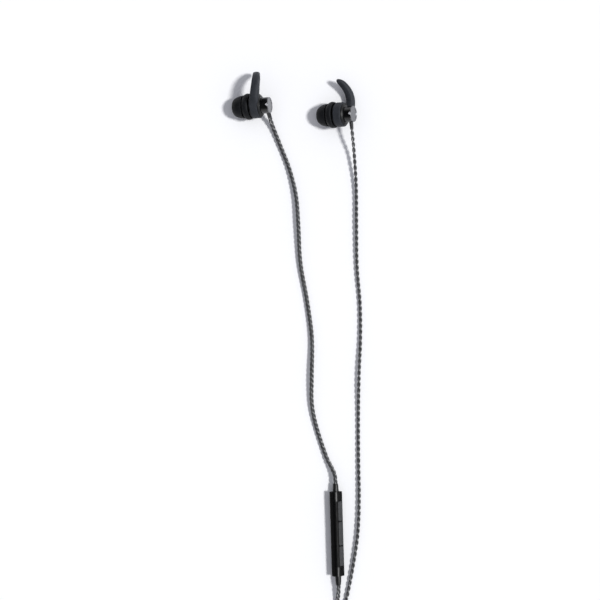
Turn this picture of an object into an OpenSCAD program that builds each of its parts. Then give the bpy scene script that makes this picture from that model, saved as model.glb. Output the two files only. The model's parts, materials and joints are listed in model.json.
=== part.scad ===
// Wired in-ear earphones: two earpieces with ear fins, twisted cords, an inline remote,
// a splitter and a four-contact plug. They lie on the plane z = 0, and the origin is at
// the middle of the two earpieces.

/* [Left earpiece place] */
// Centre of the left end cap along X
left_cap_x = -12.2; // [-14:0.1:-11]
// Centre of the left end cap along Y
left_cap_y = -2.7; // [-4:0.1:-1]
// How far the left ear tip dips below level
left_dip = 17.5; // [14:0.5:22]
// How far the left ear tip swings towards its cord
left_swing = 2.5; // [0:0.5:5]
// Angle of the left cord exit below level
left_exit_drop = 40; // [30:1:45]

/* [Right earpiece place] */
// Centre of the right end cap along X
right_cap_x = 31.6; // [30:0.1:33]
// Centre of the right end cap along Y
right_cap_y = -7.6; // [-10:0.1:-5]
// How far the right ear tip dips below level
right_dip = 25.5; // [20:0.5:27]
// How far the right ear tip swings towards its cord
right_swing = 0; // [-3:0.5:4]
// Angle of the right cord exit below level
right_exit_drop = 15; // [5:1:30]

/* [Barrel and end cap] */
// Radius of the metal barrel and its end cap
barrel_r = 4.2; // [3.9:0.05:4.3]
// Wall of the barrel
barrel_wall = 0.6; // [0.4:0.05:0.8]
// Length of barrel that shows between cap and collar
barrel_show = 3.8; // [3.6:0.1:5]
// Thickness of the end cap
cap_t = 0.5; // [0.4:0.05:0.8]
// Depth of the turned dish in the cap
cap_dish = 0.15; // [0.05:0.05:0.25]
// Length of the pointed tab that keys the cap in the barrel
cap_tab_len = 0.9; // [0.7:0.1:1.4]
// Width of the pointed tab at the cap
cap_tab_w = 1.7; // [1:0.1:2]

/* [Front shell] */
// Radius of the collar behind the ear fin
collar_r = 5.7; // [5.6:0.05:5.9]
// Thickness of the collar
collar_t = 1; // [0.8:0.1:1.4]
// Radius of the groove that carries the ear fin
groove_r = 5.2; // [5.1:0.05:5.3]
// Radius of the bead in front of the ear fin
bead_r = 5.55; // [5.45:0.05:5.65]
// Thickness of the bead
bead_t = 0.6; // [0.5:0.1:0.9]
// Radius of the driver chamber
chamber_r = 4.3; // [4.15:0.05:4.4]
// Length from the bead to the nozzle shoulder
cone_len = 1.8; // [1.5:0.1:2.2]
// Length of the nozzle
nozzle_len = 5.4; // [4.8:0.1:5.8]
// Radius of the nozzle neck
neck_r = 2.6; // [2.5:0.05:2.7]
// Radius of the nozzle lip
lip_r = 2.95; // [2.85:0.05:3]
// Radius of the sound duct
duct_r = 1.9; // [1.6:0.05:2]

/* [Ear fin] */
// Outer radius of the fin's ring
fin_ring_r = 6.4; // [6.2:0.05:6.6]
// Width of the fin's ring
fin_ring_w = 4.1; // [3.8:0.1:4.6]
// Running gap between ring and groove
fin_gap = 0.05; // [0.02:0.01:0.09]
// How far the fin reaches from the axis
fin_reach = 18.5; // [17:0.1:19.5]
// How far the fin bulges to the side of its root
fin_rise = 10.1; // [9.4:0.1:10.6]
// How far the fin's tip turns back past the axis
fin_hook = 2.7; // [1.8:0.1:3.6]
// How far the fin leans towards the barrel at its middle
fin_lean = 2.9; // [2:0.1:3.4]
// Width of the fin's band at its root
fin_root_w = 4.4; // [3.8:0.1:5]
// Width of the fin's band at its tip
fin_tip_w = 1.8; // [1.5:0.1:2.4]
// Thickness of the fin's band
fin_t = 3.8; // [3.2:0.1:4.1]
// Turn of the left fin in its groove
left_fin_set = 1; // [-3:0.5:4]
// Turn of the right fin in its groove
right_fin_set = 9; // [6:0.5:10]

/* [Ear tip] */
// Radius of the front flange
dome_r = 5.95; // [5.5:0.05:6.2]
// Length of the front dome
dome_len = 5.8; // [5.2:0.1:6.4]
// Largest radius of the rear flange
flange_r = 6.9; // [6.5:0.05:7.3]
// Radius of the rear flange at its open rim
flange_rim_r = 6.4; // [6.2:0.05:6.5]
// Distance between the two open rims
flange_step = 3.9; // [3.8:0.1:4.4]
// Wall of the silicone
tip_wall = 0.55; // [0.4:0.05:0.6]
// Outer radius of the stem
stem_r = 3.6; // [3.5:0.05:3.8]
// Running gap between stem bore and nozzle lip
stem_gap = 0.05; // [0.02:0.01:0.09]

/* [Driver] */
// Radius of the driver's magnet
magnet_r = 1.75; // [1.4:0.05:1.8]
// Radius of the driver's yoke
yoke_r = 2.7; // [2.65:0.05:3]
// Height of the driver's yoke
yoke_h = 2.7; // [2.4:0.1:2.8]
// Wall of yoke and frame
driver_wall = 0.3; // [0.2:0.05:0.4]

/* [Cords] */
// Diameter of the left arm's twisted cord
left_cord_d = 2.3; // [2:0.1:2.4]
// Diameter of the right arm's twisted cord
right_cord_d = 2.1; // [1.8:0.1:2.4]
// Diameter of the main cord
main_cord_d = 2.4; // [2:0.1:2.6]
// Length of an earpiece's strain relief outside the barrel
relief_len = 3.3; // [2.8:0.1:4.2]
// Radius of an earpiece's strain relief at its thin end
relief_end_r = 1.2; // [1.15:0.05:1.3]
// Turns in the put-away coil
coil_turns = 9.25; // [8.25:1:10.25]
// Radius of the coil at the middle of its turns
coil_r = 14.4; // [13:0.1:16]
// Distance from turn to turn in the coil
coil_pitch = 2.85; // [2.85:0.05:3]
// Thickness of the tie round the coil
tie_t = 0.5; // [0.4:0.1:0.8]
// Width of the tie
tie_w = 5; // [3:0.5:8]

/* [Remote] */
// Length of the remote
remote_len = 44.4; // [42:0.1:48]
// Width of the remote across its button face
remote_w = 6.5; // [6.2:0.1:7.2]
// Thickness of the remote
remote_t = 5.3; // [5.2:0.1:6]
// Radius of the remote's long edges
remote_edge_r = 1.95; // [1.6:0.05:2.1]
// Wall of the remote's shells
remote_wall = 0.8; // [0.7:0.05:0.9]
// How far the button face turns away from straight up
remote_roll = 48; // [40:1:55]
// Length of the volume buttons
button_len = 10.3; // [9:0.1:11]
// Length of the middle button
play_len = 12.4; // [11:0.1:13]
// Width of the buttons
button_w = 3.1; // [2.6:0.1:3.3]
// Distance between buttons
button_gap = 0.5; // [0.4:0.1:0.8]
// How far the buttons stand proud of the face
button_proud = 0.4; // [0.35:0.05:0.6]
// Travel of a button
button_travel = 0.3; // [0.2:0.02:0.3]

/* [Splitter] */
// Length of the splitter
splitter_len = 14; // [12:0.5:14]
// Width of the splitter
splitter_w = 7.2; // [6.8:0.1:8]
// Thickness of the splitter
splitter_t = 5; // [4.6:0.1:5]
// Wall of the splitter's shells
splitter_wall = 0.8; // [0.6:0.05:1]

/* [Plug] */
// Radius of the plug's contacts
plug_r = 1.75; // [1.73:0.01:1.77]
// Length of the plug's sleeve contact
sleeve_len = 4.9; // [4.5:0.1:5.5]
// Length of each ring contact
ring_len = 2; // [1.6:0.1:2.4]
// Length of each insulating band
band_len = 0.7; // [0.5:0.1:0.9]
// Length of the tip contact
point_len = 3; // [2.6:0.1:3.6]
// Radius of the plug's grip
grip_r = 2.9; // [2.6:0.1:3.2]
// Length of the plug's grip
grip_len = 13; // [11:0.5:16]

/* [Hidden] */
$fn = 48;

// Clearance between pieces that are glued or clipped together
fit = 0.05;
// Side play between moving pieces
play = 0.1;
// Chamfer on turned edges
chamfer = 0.15;
// Overlap of a cutter past the face that it cuts
past = 1;
// Step of the arcs in turned outlines, in degrees
arc_step = 10;

// Stations along an earpiece's axis, counted from the outside of its end cap
collar_z = cap_t + barrel_show;
groove_z = collar_z + collar_t;
bead_z = groove_z + fin_ring_w + 2 * play;
cone_z = bead_z + bead_t;
shoulder_z = cone_z + cone_len;
nozzle_end_z = shoulder_z + nozzle_len;
lip_len = 0.8;

// Barrel
barrel_bore_r = barrel_r - barrel_wall;
barrel_foot_r = barrel_r + 0.4;
socket_r = barrel_foot_r + fit;
socket_z = groove_z + 0.15;
cap_spigot_w = 0.5;
cap_spigot_len = 0.25;
cap_rim_w = 0.75;

// Strain relief of an earpiece, on an axis that crosses the barrel's axis
relief_neck_r = 1.15;
relief_base_r = 1.35;
relief_z = 2;
relief_inner = 2.3;
relief_start = barrel_r + fit;
exit_reach = relief_start + relief_len;

// Front shell
shell_wall = 1;
collar_rim = 0.25;
collar_edge = 0.3;
mesh_r = 2.3;
mesh_t = 0.2;
shoulder_r = 4;

// Ear tip
stem_bore_r = lip_r + stem_gap;
stem_z = shoulder_z + play;
nose_r = 2.6;
nose_duct_r = duct_r + 0.1;
flange_clear = 1;
flange_lip_len = 1.35;
flange_back_len = 2.6;
flange_rim_z = bead_z + flange_clear;
flange_wide_z = flange_rim_z + flange_lip_len;
flange_root_z = flange_wide_z + flange_back_len;
dome_rim_z = flange_rim_z + flange_step;
nose_z = dome_rim_z + dome_len;

// Driver, from its board to its diaphragm
driver_r = chamber_r - fit;
chamber_end_z = bead_z - 0.4;
frame_end_z = chamber_end_z - play;
diaphragm_t = 0.12;
ledge_z = frame_end_z - 0.5;
yoke_z = ledge_z - yoke_h - 0.4;
frame_z = yoke_z + 0.8;
yoke_floor = 0.5;
coil_former_r = (magnet_r + yoke_r - driver_wall) / 2;
coil_former_t = 0.2;
board_t = 0.4;
board_r = 2.5;

// Ear fin
fin_ring_z = groove_z + play;
fin_bore_r = groove_r + fin_gap;
fin_clear = 0.1;
fin_root_angle = 108;
fin_root_extra = 1.4;
fin_taper = 3;
fin_swell_x = 8.6;
fin_crest_back = 4.3;
fin_crest_share = 0.59;
fin_tip_lift = 2.2;
fin_round_from = 0.94;
fin_round_stations = 4;
fin_start = 0.2;
fin_start_share = 0.3;
fin_stations = 20;
fin_sides = 12;
fin_square = 0.75;

// The fin's middle line, a Bezier curve: [across, out, along] from the axis
fin_root_r = (fin_bore_r + fin_ring_r) / 2;
fin_root_z = fin_ring_z + fin_ring_w / 2;
fin_line = [
    [fin_root_r * cos(fin_root_angle), fin_root_r * sin(fin_root_angle), fin_root_z],
    [fin_swell_x, fin_rise, fin_root_z - fin_lean],
    [fin_reach - fin_crest_back, fin_crest_share * fin_rise, fin_root_z - fin_lean],
    [fin_reach, -fin_hook, fin_root_z + fin_tip_lift]
];

function bezier(p, t) =
    pow(1 - t, 3) * p[0] + 3 * t * pow(1 - t, 2) * p[1]
    + 3 * t * t * (1 - t) * p[2] + pow(t, 3) * p[3];
function bezier_run(p, t) =
    3 * pow(1 - t, 2) * (p[1] - p[0]) + 6 * t * (1 - t) * (p[2] - p[1])
    + 3 * t * t * (p[3] - p[2]);
function unit(v) = v / norm(v);
function level_left(v) = unit([-v[1], v[0], 0]);
function fin_station(s) =
    let (straight = fin_stations - fin_round_stations)
    s < straight ? fin_round_from * s / straight
    : fin_round_from + (1 - fin_round_from) * sin(84 * (s - straight) / fin_round_stations);
function rounded_end(t) =
    t < fin_round_from ? 1 : sqrt(1 - pow((t - fin_round_from) / (1 - fin_round_from), 2));
function thin_start(t) =
    t > fin_start ? 1 : fin_start_share + (1 - fin_start_share) * sin(90 * t / fin_start);
function fin_band(t) =
    (fin_tip_w + (fin_root_w - fin_tip_w) * (1 - pow(t, fin_taper)))
    * rounded_end(t) * thin_start(t);
function fin_thick(t) = (fin_t + fin_root_extra * pow(1 - t, 2)) * rounded_end(t);
function bulge(u) = sign(u) * pow(abs(u), fin_square);

// One ring of points across the fin, at station t, with out mirrored by side
function fin_section(t, side) =
    let (middle = bezier(fin_line, t), outward = level_left(bezier_run(fin_line, t)))
    [for (i = [0:fin_sides - 1])
        let (a = 360 * i / fin_sides,
             p = middle + outward * bulge(cos(a)) * fin_band(t) / 2
                 + [0, 0, bulge(sin(a)) * fin_thick(t) / 2])
        [-p[0], side * p[1], p[2]]];
function fin_points(side) =
    [for (s = [0:fin_stations]) each fin_section(fin_station(s), side)];

// Triangles between rings of points, with both ends closed; turned is 1 or -1
function tube_faces(rings, sides, turned = 1) =
    let (faces = concat(
        [for (i = [1:sides - 2]) [0, i, i + 1]],
        [for (i = [1:sides - 2])
            let (k = (rings - 1) * sides) [k, k + i + 1, k + i]],
        [for (r = [0:rings - 2], i = [0:sides - 1])
            let (a = r * sides + i, b = r * sides + (i + 1) % sides)
            each [[a, a + sides, b], [b, a + sides, b + sides]]]))
    turned > 0 ? faces : [for (f = faces) [f[0], f[2], f[1]]];

// Outline of the ear tip, as [radius, station] points
function arc(r0, r1, z0, z1, from, to) =
    [for (a = [from:(to > from ? arc_step : -arc_step):to])
        [r0 + (r1 - r0) * cos(a), z0 + (z1 - z0) * sin(a)]];
tip_outline = concat(
    [[stem_bore_r, stem_z], [stem_bore_r, nozzle_end_z + 2 * play],
     [nose_duct_r, nozzle_end_z + 1], [nose_duct_r, nose_z]],
    arc(nose_r, dome_r, dome_rim_z, nose_z, 90, 0),
    arc(stem_r, dome_r - tip_wall, dome_rim_z, nose_z - 1.5 * tip_wall, 0, 90),
    arc(stem_r, flange_r, flange_wide_z, flange_root_z, 90, 0),
    arc(flange_rim_r, flange_r, flange_wide_z, flange_rim_z, arc_step, 90),
    arc(flange_rim_r - tip_wall, flange_r - tip_wall, flange_wide_z, flange_rim_z, 90, 0),
    arc(stem_r, flange_r - tip_wall, flange_wide_z, flange_root_z - 1.2 * tip_wall,
        arc_step, 90),
    [[stem_r, stem_z]]
);

// Height of a cap's centre at which the earpiece's lowest point is on the surface
function tip_depth(dip) = max([for (p = tip_outline) p[1] * sin(dip) + p[0] * cos(dip)]);
function fin_depth(dip, side, turn) =
    max([for (p = fin_points(side))
        p[2] * sin(dip) - (p[0] * sin(turn) + p[1] * cos(turn)) * cos(dip)]);
function rest_height(dip, side, turn) = max(tip_depth(dip), fin_depth(dip, side, turn));

// An earpiece's place: [cap centre, dip, swing, exit drop, fin side, fin turn]
left_ear = [
    [left_cap_x, left_cap_y, rest_height(left_dip, 1, left_fin_set)],
    left_dip, left_swing, left_exit_drop, 1, left_fin_set
];
right_ear = [
    [right_cap_x, right_cap_y, rest_height(right_dip, -1, right_fin_set)],
    right_dip, right_swing, right_exit_drop, -1, right_fin_set
];

// The same turn as module on_ear(), for a direction and for a point
function ear_turn(ear, v) =
    let (x = -v[2] * cos(ear[1]) - v[1] * sin(ear[1]),
         y = -v[0],
         z = -v[2] * sin(ear[1]) + v[1] * cos(ear[1]))
    [x * cos(ear[2]) - y * sin(ear[2]), x * sin(ear[2]) + y * cos(ear[2]), z];
function ear_point(ear, p) = ear[0] + ear_turn(ear, p);
function exit_way(ear) = ear_turn(ear, [cos(ear[3]), -sin(ear[3]), 0]);
function exit_point(ear) =
    ear_point(ear, [exit_reach * cos(ear[3]), -exit_reach * sin(ear[3]), relief_z]);

// Remote: half its size in its own frame, with Z along it and Y out of its button face
remote_half_t = remote_t / 2;
remote_half_len = remote_len / 2;
remote_inner_r = 0.6;
remote_lean = 1.7;
remote_x = 23;
remote_y = -228.1;
remote_axis_z =
    (remote_w / 2 - remote_edge_r) * sin(remote_roll)
    + (remote_half_t - remote_edge_r) * cos(remote_roll) + remote_edge_r;
remote_place = [remote_x, remote_y, remote_axis_z];
button_shift = 0.2;
side_button_offset = (play_len + button_len) / 2 + button_gap;
button_flange = 0.4;
button_flange_t = 0.5;
button_edge_r = 0.7;
plunger_r = 0.8;
remote_board_t = 0.8;
remote_board_y = -0.9;
remote_board_side_gap = 0.25;
remote_board_end_gap = 1;
remote_board_w = remote_w - 2 * (remote_wall + remote_board_side_gap);
remote_board_len = remote_len - 2 * (remote_wall + remote_board_end_gap);
dome_r_out = 1.5;
dome_h = 0.55;
post_r = 0.7;
post_offset = 17.5;
mic_offset = 18.7;
mic_size = [2.2, 1.6, 0.9];
mic_port_r = 0.35;
relief_waist = 0.2;
upper_relief_len = 4.3;
lower_relief_len = 5;
remote_relief_r = 1.6;
remote_relief_end_r = 1.3;
relief_plug_len = 1.2;

function remote_way(v) =
    let (a = 180 + remote_roll,
         x = v[0] * cos(a) - v[1] * sin(a),
         y = v[2],
         z = -v[0] * sin(a) - v[1] * cos(a))
    [x * cos(remote_lean) - y * sin(remote_lean),
     x * sin(remote_lean) + y * cos(remote_lean), z];
function remote_point(p) = remote_place + remote_way(p);

// Splitter, with its arms entering at the top end
splitter_x = 22.5;
splitter_y = -286;
splitter_end_y = splitter_y - splitter_len;
splitter_z = splitter_t / 2;
arm_spacing = 2.8;
splitter_relief_len = 5;
splitter_relief_r = 1.9;
splitter_relief_end_r = 1.4;
splitter_relief_hold_r = 1.6;
main_start_y = splitter_end_y - splitter_relief_len;

// Coil: two layers that spiral in and out again
coil_lift = tie_t + play;
coil_x = 1.4;
coil_y = -328;
coil_half_turns = coil_turns / 2;
coil_outer_r = coil_r + coil_half_turns * coil_pitch / 2;
coil_rings_per_turn = 24;
coil_sides = 6;
coil_steps = round(coil_turns * coil_rings_per_turn);
coil_base_z = main_cord_d / 2 + coil_lift;
climb_turns = 0.5;

function smooth(u) = u <= 0 ? 0 : u >= 1 ? 1 : u * u * (3 - 2 * u);
function coil_radius(n) = coil_outer_r - coil_pitch * (coil_half_turns - abs(n - coil_half_turns));
function coil_height(n) =
    coil_base_z + coil_pitch * smooth((n - coil_half_turns) / climb_turns + 0.5);
function coil_at(n) =
    [coil_x + coil_radius(n) * cos(-360 * n), coil_y + coil_radius(n) * sin(-360 * n),
     coil_height(n)];
coil_out_angle = -360 * coil_turns;
coil_out_way = [sin(coil_out_angle), -cos(coil_out_angle), 0];
coil_in_way = [0, -1, 0];
coil_line = concat(
    [coil_at(0) - main_cord_d * coil_in_way],
    [for (i = [0:coil_steps]) coil_at(i / coil_rings_per_turn)],
    [coil_at(coil_turns) + main_cord_d * coil_out_way]
);
coil_count = len(coil_line);
coil_gap = min([for (i = [0:coil_count - 1], j = [i + 12:1:coil_count - 1])
    norm(coil_line[i] - coil_line[j])]) - main_cord_d;
echo(least_gap_of_the_coil_to_itself_mm = coil_gap);

// Tie round the turns on the coil's far side
tie_gap = 0.1;
tie_inner_w = coil_half_turns * coil_pitch + main_cord_d + 2 * tie_gap;
tie_inner_h = coil_pitch + main_cord_d + 2 * tie_gap;
tie_corner_r = main_cord_d / 2;

// Plug, lying beside the coil and pointing along -X
plug_relief_x = -14;
plug_y = -353.5;
plug_z = grip_r;
plug_relief_len = 6;
plug_relief_r = 2;
plug_relief_end_r = 1.4;
plug_relief_steps = 4;
plug_face_len = 0.8;
plug_face_r = 2.3;
plug_core_r = 0.8;
plug_core_wall = 0.25;
grip_groove_count = 5;
grip_groove_depth = 0.2;
grip_groove_w = 0.5;
grip_groove_step = 1.4;

// Free stretches of cord. The first and last points come from what the cord leaves and
// enters; those between are chosen by hand.
cord_sides = 8;
left_upper_points = [
    [-7.4, -22, 1.5], [-2, -36, 1.6], [1.4, -50, 2.3], [2.6, -65, 2.5], [3.7, -85, 1.7],
    [7.2, -105, 1.3], [9.8, -125, 1.7], [9.7, -145, 2.6], [9.8, -160, 1.9],
    [12.2, -172, 1.3], [17.5, -188, 1.6]
];
left_lower_points = [[23.3, -264, 1.6], [22.2, -275, 1.3]];
right_points = [
    [32, -27, 5.2], [33.2, -45, 2.2], [33.4, -66, 1.9], [33.7, -87, 1.4],
    [35.3, -107, 1.2], [35.5, -125, 1.5], [34.7, -145, 2.2], [34.4, -167, 1.2],
    [34.5, -190, 1.3], [34.8, -210, 1.7], [34.1, -228, 1.9], [32, -243, 1.7],
    [29.2, -258, 1.4], [26, -272, 1.3]
];
main_points = [[22.6, -314, 1.6]];
plug_cord_points = [[-6, -351.6, 4]];

// Directions at the points of a route: its two ends run straight
function way_at(p, i, first, last) =
    i < 2 ? first : i > len(p) - 3 ? last : unit(p[i + 1] - p[i - 1]);
function hermite(a, b, m, n, t) =
    (2 * pow(t, 3) - 3 * t * t + 1) * a + (pow(t, 3) - 2 * t * t + t) * m
    + (3 * t * t - 2 * pow(t, 3)) * b + (pow(t, 3) - t * t) * n;
function pieces(a, b) = max(1, round(norm(b - a) / 9));
function smooth_line(p, first, last) = concat(
    [for (i = [0:len(p) - 2])
        let (n = pieces(p[i], p[i + 1]), l = norm(p[i + 1] - p[i]))
        for (k = [0:n - 1])
            hermite(p[i], p[i + 1], way_at(p, i, first, last) * l,
                way_at(p, i + 1, first, last) * l, k / n)],
    [p[len(p) - 1]]);
function line_way(line, i) =
    unit(line[min(i + 1, len(line) - 1)] - line[max(i - 1, 0)]);
function ring_across(middle, way, r, sides) =
    let (across = unit(cross(way, [0, 0, 1])), up = cross(across, way))
    [for (i = [0:sides - 1])
        let (a = 360 * (i + 0.5) / sides)
        middle + r * (cos(a) * across + sin(a) * up)];
function route(from, first, points, to, last, d) =
    smooth_line(concat([from, from + first * d], points, [to - last * d, to]), first, last);

left_upper_line = route(
    exit_point(left_ear), exit_way(left_ear), left_upper_points,
    remote_point([0, 0, remote_half_len + upper_relief_len]), remote_way([0, 0, -1]),
    left_cord_d);
left_lower_line = route(
    remote_point([0, 0, -remote_half_len - lower_relief_len]), remote_way([0, 0, -1]),
    left_lower_points,
    [splitter_x - arm_spacing / 2, splitter_y, splitter_z], [0, -1, 0], left_cord_d);
right_line = route(
    exit_point(right_ear), exit_way(right_ear), right_points,
    [splitter_x + arm_spacing / 2, splitter_y, splitter_z], [0, -1, 0], right_cord_d);
main_line = route(
    [splitter_x, main_start_y, splitter_z], [0, -1, 0], main_points,
    coil_line[0], coil_in_way, main_cord_d);
plug_cord_line = route(
    coil_line[coil_count - 1], coil_out_way, plug_cord_points,
    [plug_relief_x, plug_y, plug_z], [-1, 0, 0], main_cord_d);

// Puts an earpiece, drawn with its axis along Z from the cap, in its place
module on_ear(ear) {
    translate(ear[0])
        rotate([0, 0, ear[2]])
        rotate([0, -ear[1], 0])
        rotate([90, 0, -90])
        children();
}

module ear_tip(ear) {
    on_ear(ear) rotate_extrude($fn = 72) polygon(tip_outline);
}

module ear_fin(ear) {
    on_ear(ear) difference() {
        union() {
            fin_ring();
            rotate([0, 0, ear[5]]) fin_blade(ear[4]);
        }
        translate([0, 0, -past])
            cylinder(r = fin_bore_r, h = nose_z);
        translate([0, 0, -past])
            cylinder(r = collar_r + fin_clear, h = fin_ring_z + past);
        translate([0, 0, fin_ring_z + fin_ring_w])
            cylinder(r = flange_r, h = nose_z);
    }
}

module fin_ring() {
    translate([0, 0, fin_ring_z])
        rotate_extrude($fn = 72)
        polygon([
            [fin_bore_r, 0], [fin_ring_r - 2 * chamfer, 0], [fin_ring_r, 2 * chamfer],
            [fin_ring_r, fin_ring_w - 2 * chamfer],
            [fin_ring_r - 2 * chamfer, fin_ring_w], [fin_bore_r, fin_ring_w]
        ]);
}

module fin_blade(side) {
    polyhedron(fin_points(side), tube_faces(fin_stations + 1, fin_sides, -side));
}

module front_shell(ear) {
    on_ear(ear) rotate_extrude($fn = 72) polygon([
        [socket_r, collar_z], [socket_r + collar_rim, collar_z],
        [collar_r, groove_z - collar_edge], [collar_r, groove_z], [groove_r, groove_z],
        [groove_r, bead_z], [bead_r, bead_z], [bead_r, cone_z - chamfer],
        [bead_r - chamfer, cone_z], [groove_r - 0.3, cone_z + cone_len / 2],
        [shoulder_r, shoulder_z], [neck_r, shoulder_z],
        [neck_r, nozzle_end_z - lip_len], [lip_r, nozzle_end_z - lip_len + chamfer],
        [lip_r, nozzle_end_z - 2 * chamfer], [lip_r - 2 * chamfer, nozzle_end_z],
        [mesh_r + fit, nozzle_end_z], [mesh_r + fit, nozzle_end_z - mesh_t],
        [duct_r, nozzle_end_z - mesh_t], [duct_r, shoulder_z - shell_wall],
        [chamber_r, chamber_end_z], [chamber_r, socket_z], [socket_r, socket_z]
    ]);
}

module nozzle_mesh(ear) {
    on_ear(ear) translate([0, 0, nozzle_end_z - mesh_t])
        cylinder(r = mesh_r, h = mesh_t);
}

module driver_frame(ear) {
    on_ear(ear) rotate_extrude() polygon([
        [yoke_r + fit, frame_z], [driver_r, frame_z], [driver_r, frame_end_z],
        [driver_r - driver_wall, frame_end_z], [driver_r - driver_wall, ledge_z],
        [driver_r - 2 * driver_wall, ledge_z],
        [driver_r - 2 * driver_wall, frame_z + driver_wall],
        [yoke_r + fit, frame_z + driver_wall]
    ]);
}

module driver_yoke(ear) {
    on_ear(ear) rotate_extrude() polygon([
        [0, yoke_z], [yoke_r, yoke_z], [yoke_r, yoke_z + yoke_h],
        [yoke_r - driver_wall, yoke_z + yoke_h],
        [yoke_r - driver_wall, yoke_z + yoke_floor], [0, yoke_z + yoke_floor]
    ]);
}

module driver_magnet(ear) {
    on_ear(ear) translate([0, 0, yoke_z + yoke_floor])
        cylinder(r = magnet_r, h = yoke_h - yoke_floor - play);
}

module voice_coil(ear) {
    on_ear(ear) translate([0, 0, yoke_z + yoke_h / 2]) difference() {
        cylinder(r = coil_former_r + coil_former_t / 2, h = ledge_z - yoke_z - yoke_h / 2);
        translate([0, 0, -past])
            cylinder(r = coil_former_r - coil_former_t / 2, h = yoke_h + 2 * past);
    }
}

module diaphragm(ear) {
    dome_height = 0.35;
    rim_r = driver_r - driver_wall - fit;
    on_ear(ear) translate([0, 0, ledge_z]) rotate_extrude() polygon([
        [0, dome_height - diaphragm_t], [coil_former_r - coil_former_t, 0], [rim_r, 0],
        [rim_r, diaphragm_t], [coil_former_r, diaphragm_t], [0, dome_height]
    ]);
}

module driver_board(ear) {
    on_ear(ear) translate([0, 0, yoke_z - board_t]) cylinder(r = board_r, h = board_t);
}

module barrel(ear) {
    on_ear(ear) difference() {
        rotate_extrude($fn = 72) polygon([
            [barrel_bore_r, cap_t], [barrel_r, cap_t], [barrel_r, collar_z + fit],
            [barrel_foot_r, collar_z + fit], [barrel_foot_r, socket_z],
            [barrel_bore_r, socket_z]
        ]);
        relief_axis(ear) cylinder(r = relief_neck_r + fit, h = 2 * barrel_r);
        cap_tab(cap_tab_len + fit, cap_tab_w + 2 * fit, past);
    }
}

module end_cap(ear) {
    on_ear(ear) {
        rotate_extrude($fn = 72) polygon([
            [0, cap_dish], [barrel_r - cap_rim_w - chamfer, cap_dish],
            [barrel_r - cap_rim_w, 0], [barrel_r - chamfer, 0], [barrel_r, chamfer],
            [barrel_r, cap_t], [barrel_bore_r - fit, cap_t],
            [barrel_bore_r - fit, cap_t + cap_spigot_len],
            [barrel_bore_r - cap_spigot_w, cap_t + cap_spigot_len],
            [barrel_bore_r - cap_spigot_w, cap_t], [0, cap_t]
        ]);
        cap_tab(cap_tab_len, cap_tab_w, fit);
    }
}

// The pointed tab on the barrel's upper side, as a cutter or as the tab itself
module cap_tab(tab_len, tab_w, above) {
    tab_depth = barrel_wall / 2;
    start_z = cap_t - cap_t / 5;
    intersection() {
        difference() {
            cylinder(r = barrel_r + above, h = collar_z);
            translate([0, 0, -past])
                cylinder(r = barrel_r - tab_depth, h = collar_z + 2 * past);
        }
        translate([0, barrel_r + past + above, 0])
            rotate([90, 0, 0])
            linear_extrude(2 * past + above)
            polygon([
                [-tab_w / 2, start_z], [tab_w / 2, start_z], [0, cap_t + tab_len]
            ]);
    }
}

// The axis of the cord's way out of the barrel
module relief_axis(ear) {
    translate([0, 0, relief_z]) rotate([0, 0, -ear[3]]) rotate([0, 90, 0]) children();
}

module strain_relief(ear) {
    on_ear(ear) relief_axis(ear) {
        translate([0, 0, relief_inner])
            cylinder(r = relief_neck_r, h = relief_start - relief_inner);
        translate([0, 0, relief_start])
            cylinder(r1 = relief_base_r, r2 = relief_end_r, h = relief_len, $fn = 32);
    }
}

// Puts the remote, drawn with Z along it and Y out of its button face, in its place
module on_remote() {
    translate(remote_place)
        rotate([0, 0, remote_lean])
        rotate([0, 180 + remote_roll, 0])
        rotate([-90, 0, 0])
        children();
}

// A bar along Z with four round long edges
module round_bar(w, t, l, r) {
    translate([-w / 2 + r, -t / 2, -l / 2]) cube([w - 2 * r, t, l]);
    translate([-w / 2, -t / 2 + r, -l / 2]) cube([w, t - 2 * r, l]);
    for (x = [-1, 1], y = [-1, 1])
        translate([x * (w / 2 - r), y * (t / 2 - r), -l / 2]) cylinder(r = r, h = l);
}

module remote_shell() {
    difference() {
        round_bar(remote_w, remote_t, remote_len, remote_edge_r);
        round_bar(remote_w - 2 * remote_wall, remote_t - 2 * remote_wall,
            remote_len - 2 * remote_wall, remote_inner_r);
        translate([0, 0, -remote_len])
            cylinder(r = remote_relief_r - relief_waist + fit, h = 2 * remote_len);
    }
}

module button_windows() {
    for (b = [[side_button_offset, button_len], [0, play_len], [-side_button_offset, button_len]])
        translate([0, remote_half_t, button_shift + b[0]])
            button_outline(button_w + 2 * play, b[1] + 2 * play, remote_t / 2, button_edge_r + play);
}

// A button's outline, extruded both ways from its middle along Y
module button_outline(w, l, h, r) {
    rotate([90, 0, 0]) round_bar(w, l, h, r);
}

module remote_front_shell() {
    on_remote() difference() {
        remote_shell();
        translate([-remote_w, -remote_t, -remote_len])
            cube([2 * remote_w, remote_t, 2 * remote_len]);
        button_windows();
        translate([0, 0, button_shift - mic_offset])
            rotate([-90, 0, 0])
            cylinder(r = mic_port_r, h = remote_t, $fn = 24);
    }
}

module remote_back_shell() {
    on_remote() {
        difference() {
            remote_shell();
            translate([-remote_w, 0, -remote_len])
                cube([2 * remote_w, remote_t, 2 * remote_len]);
        }
        for (z = [-post_offset, 0, post_offset])
            translate([0, remote_board_y, z])
                rotate([90, 0, 0])
                cylinder(r = post_r, h = remote_half_t - remote_wall + remote_board_y + fit);
    }
}

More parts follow.
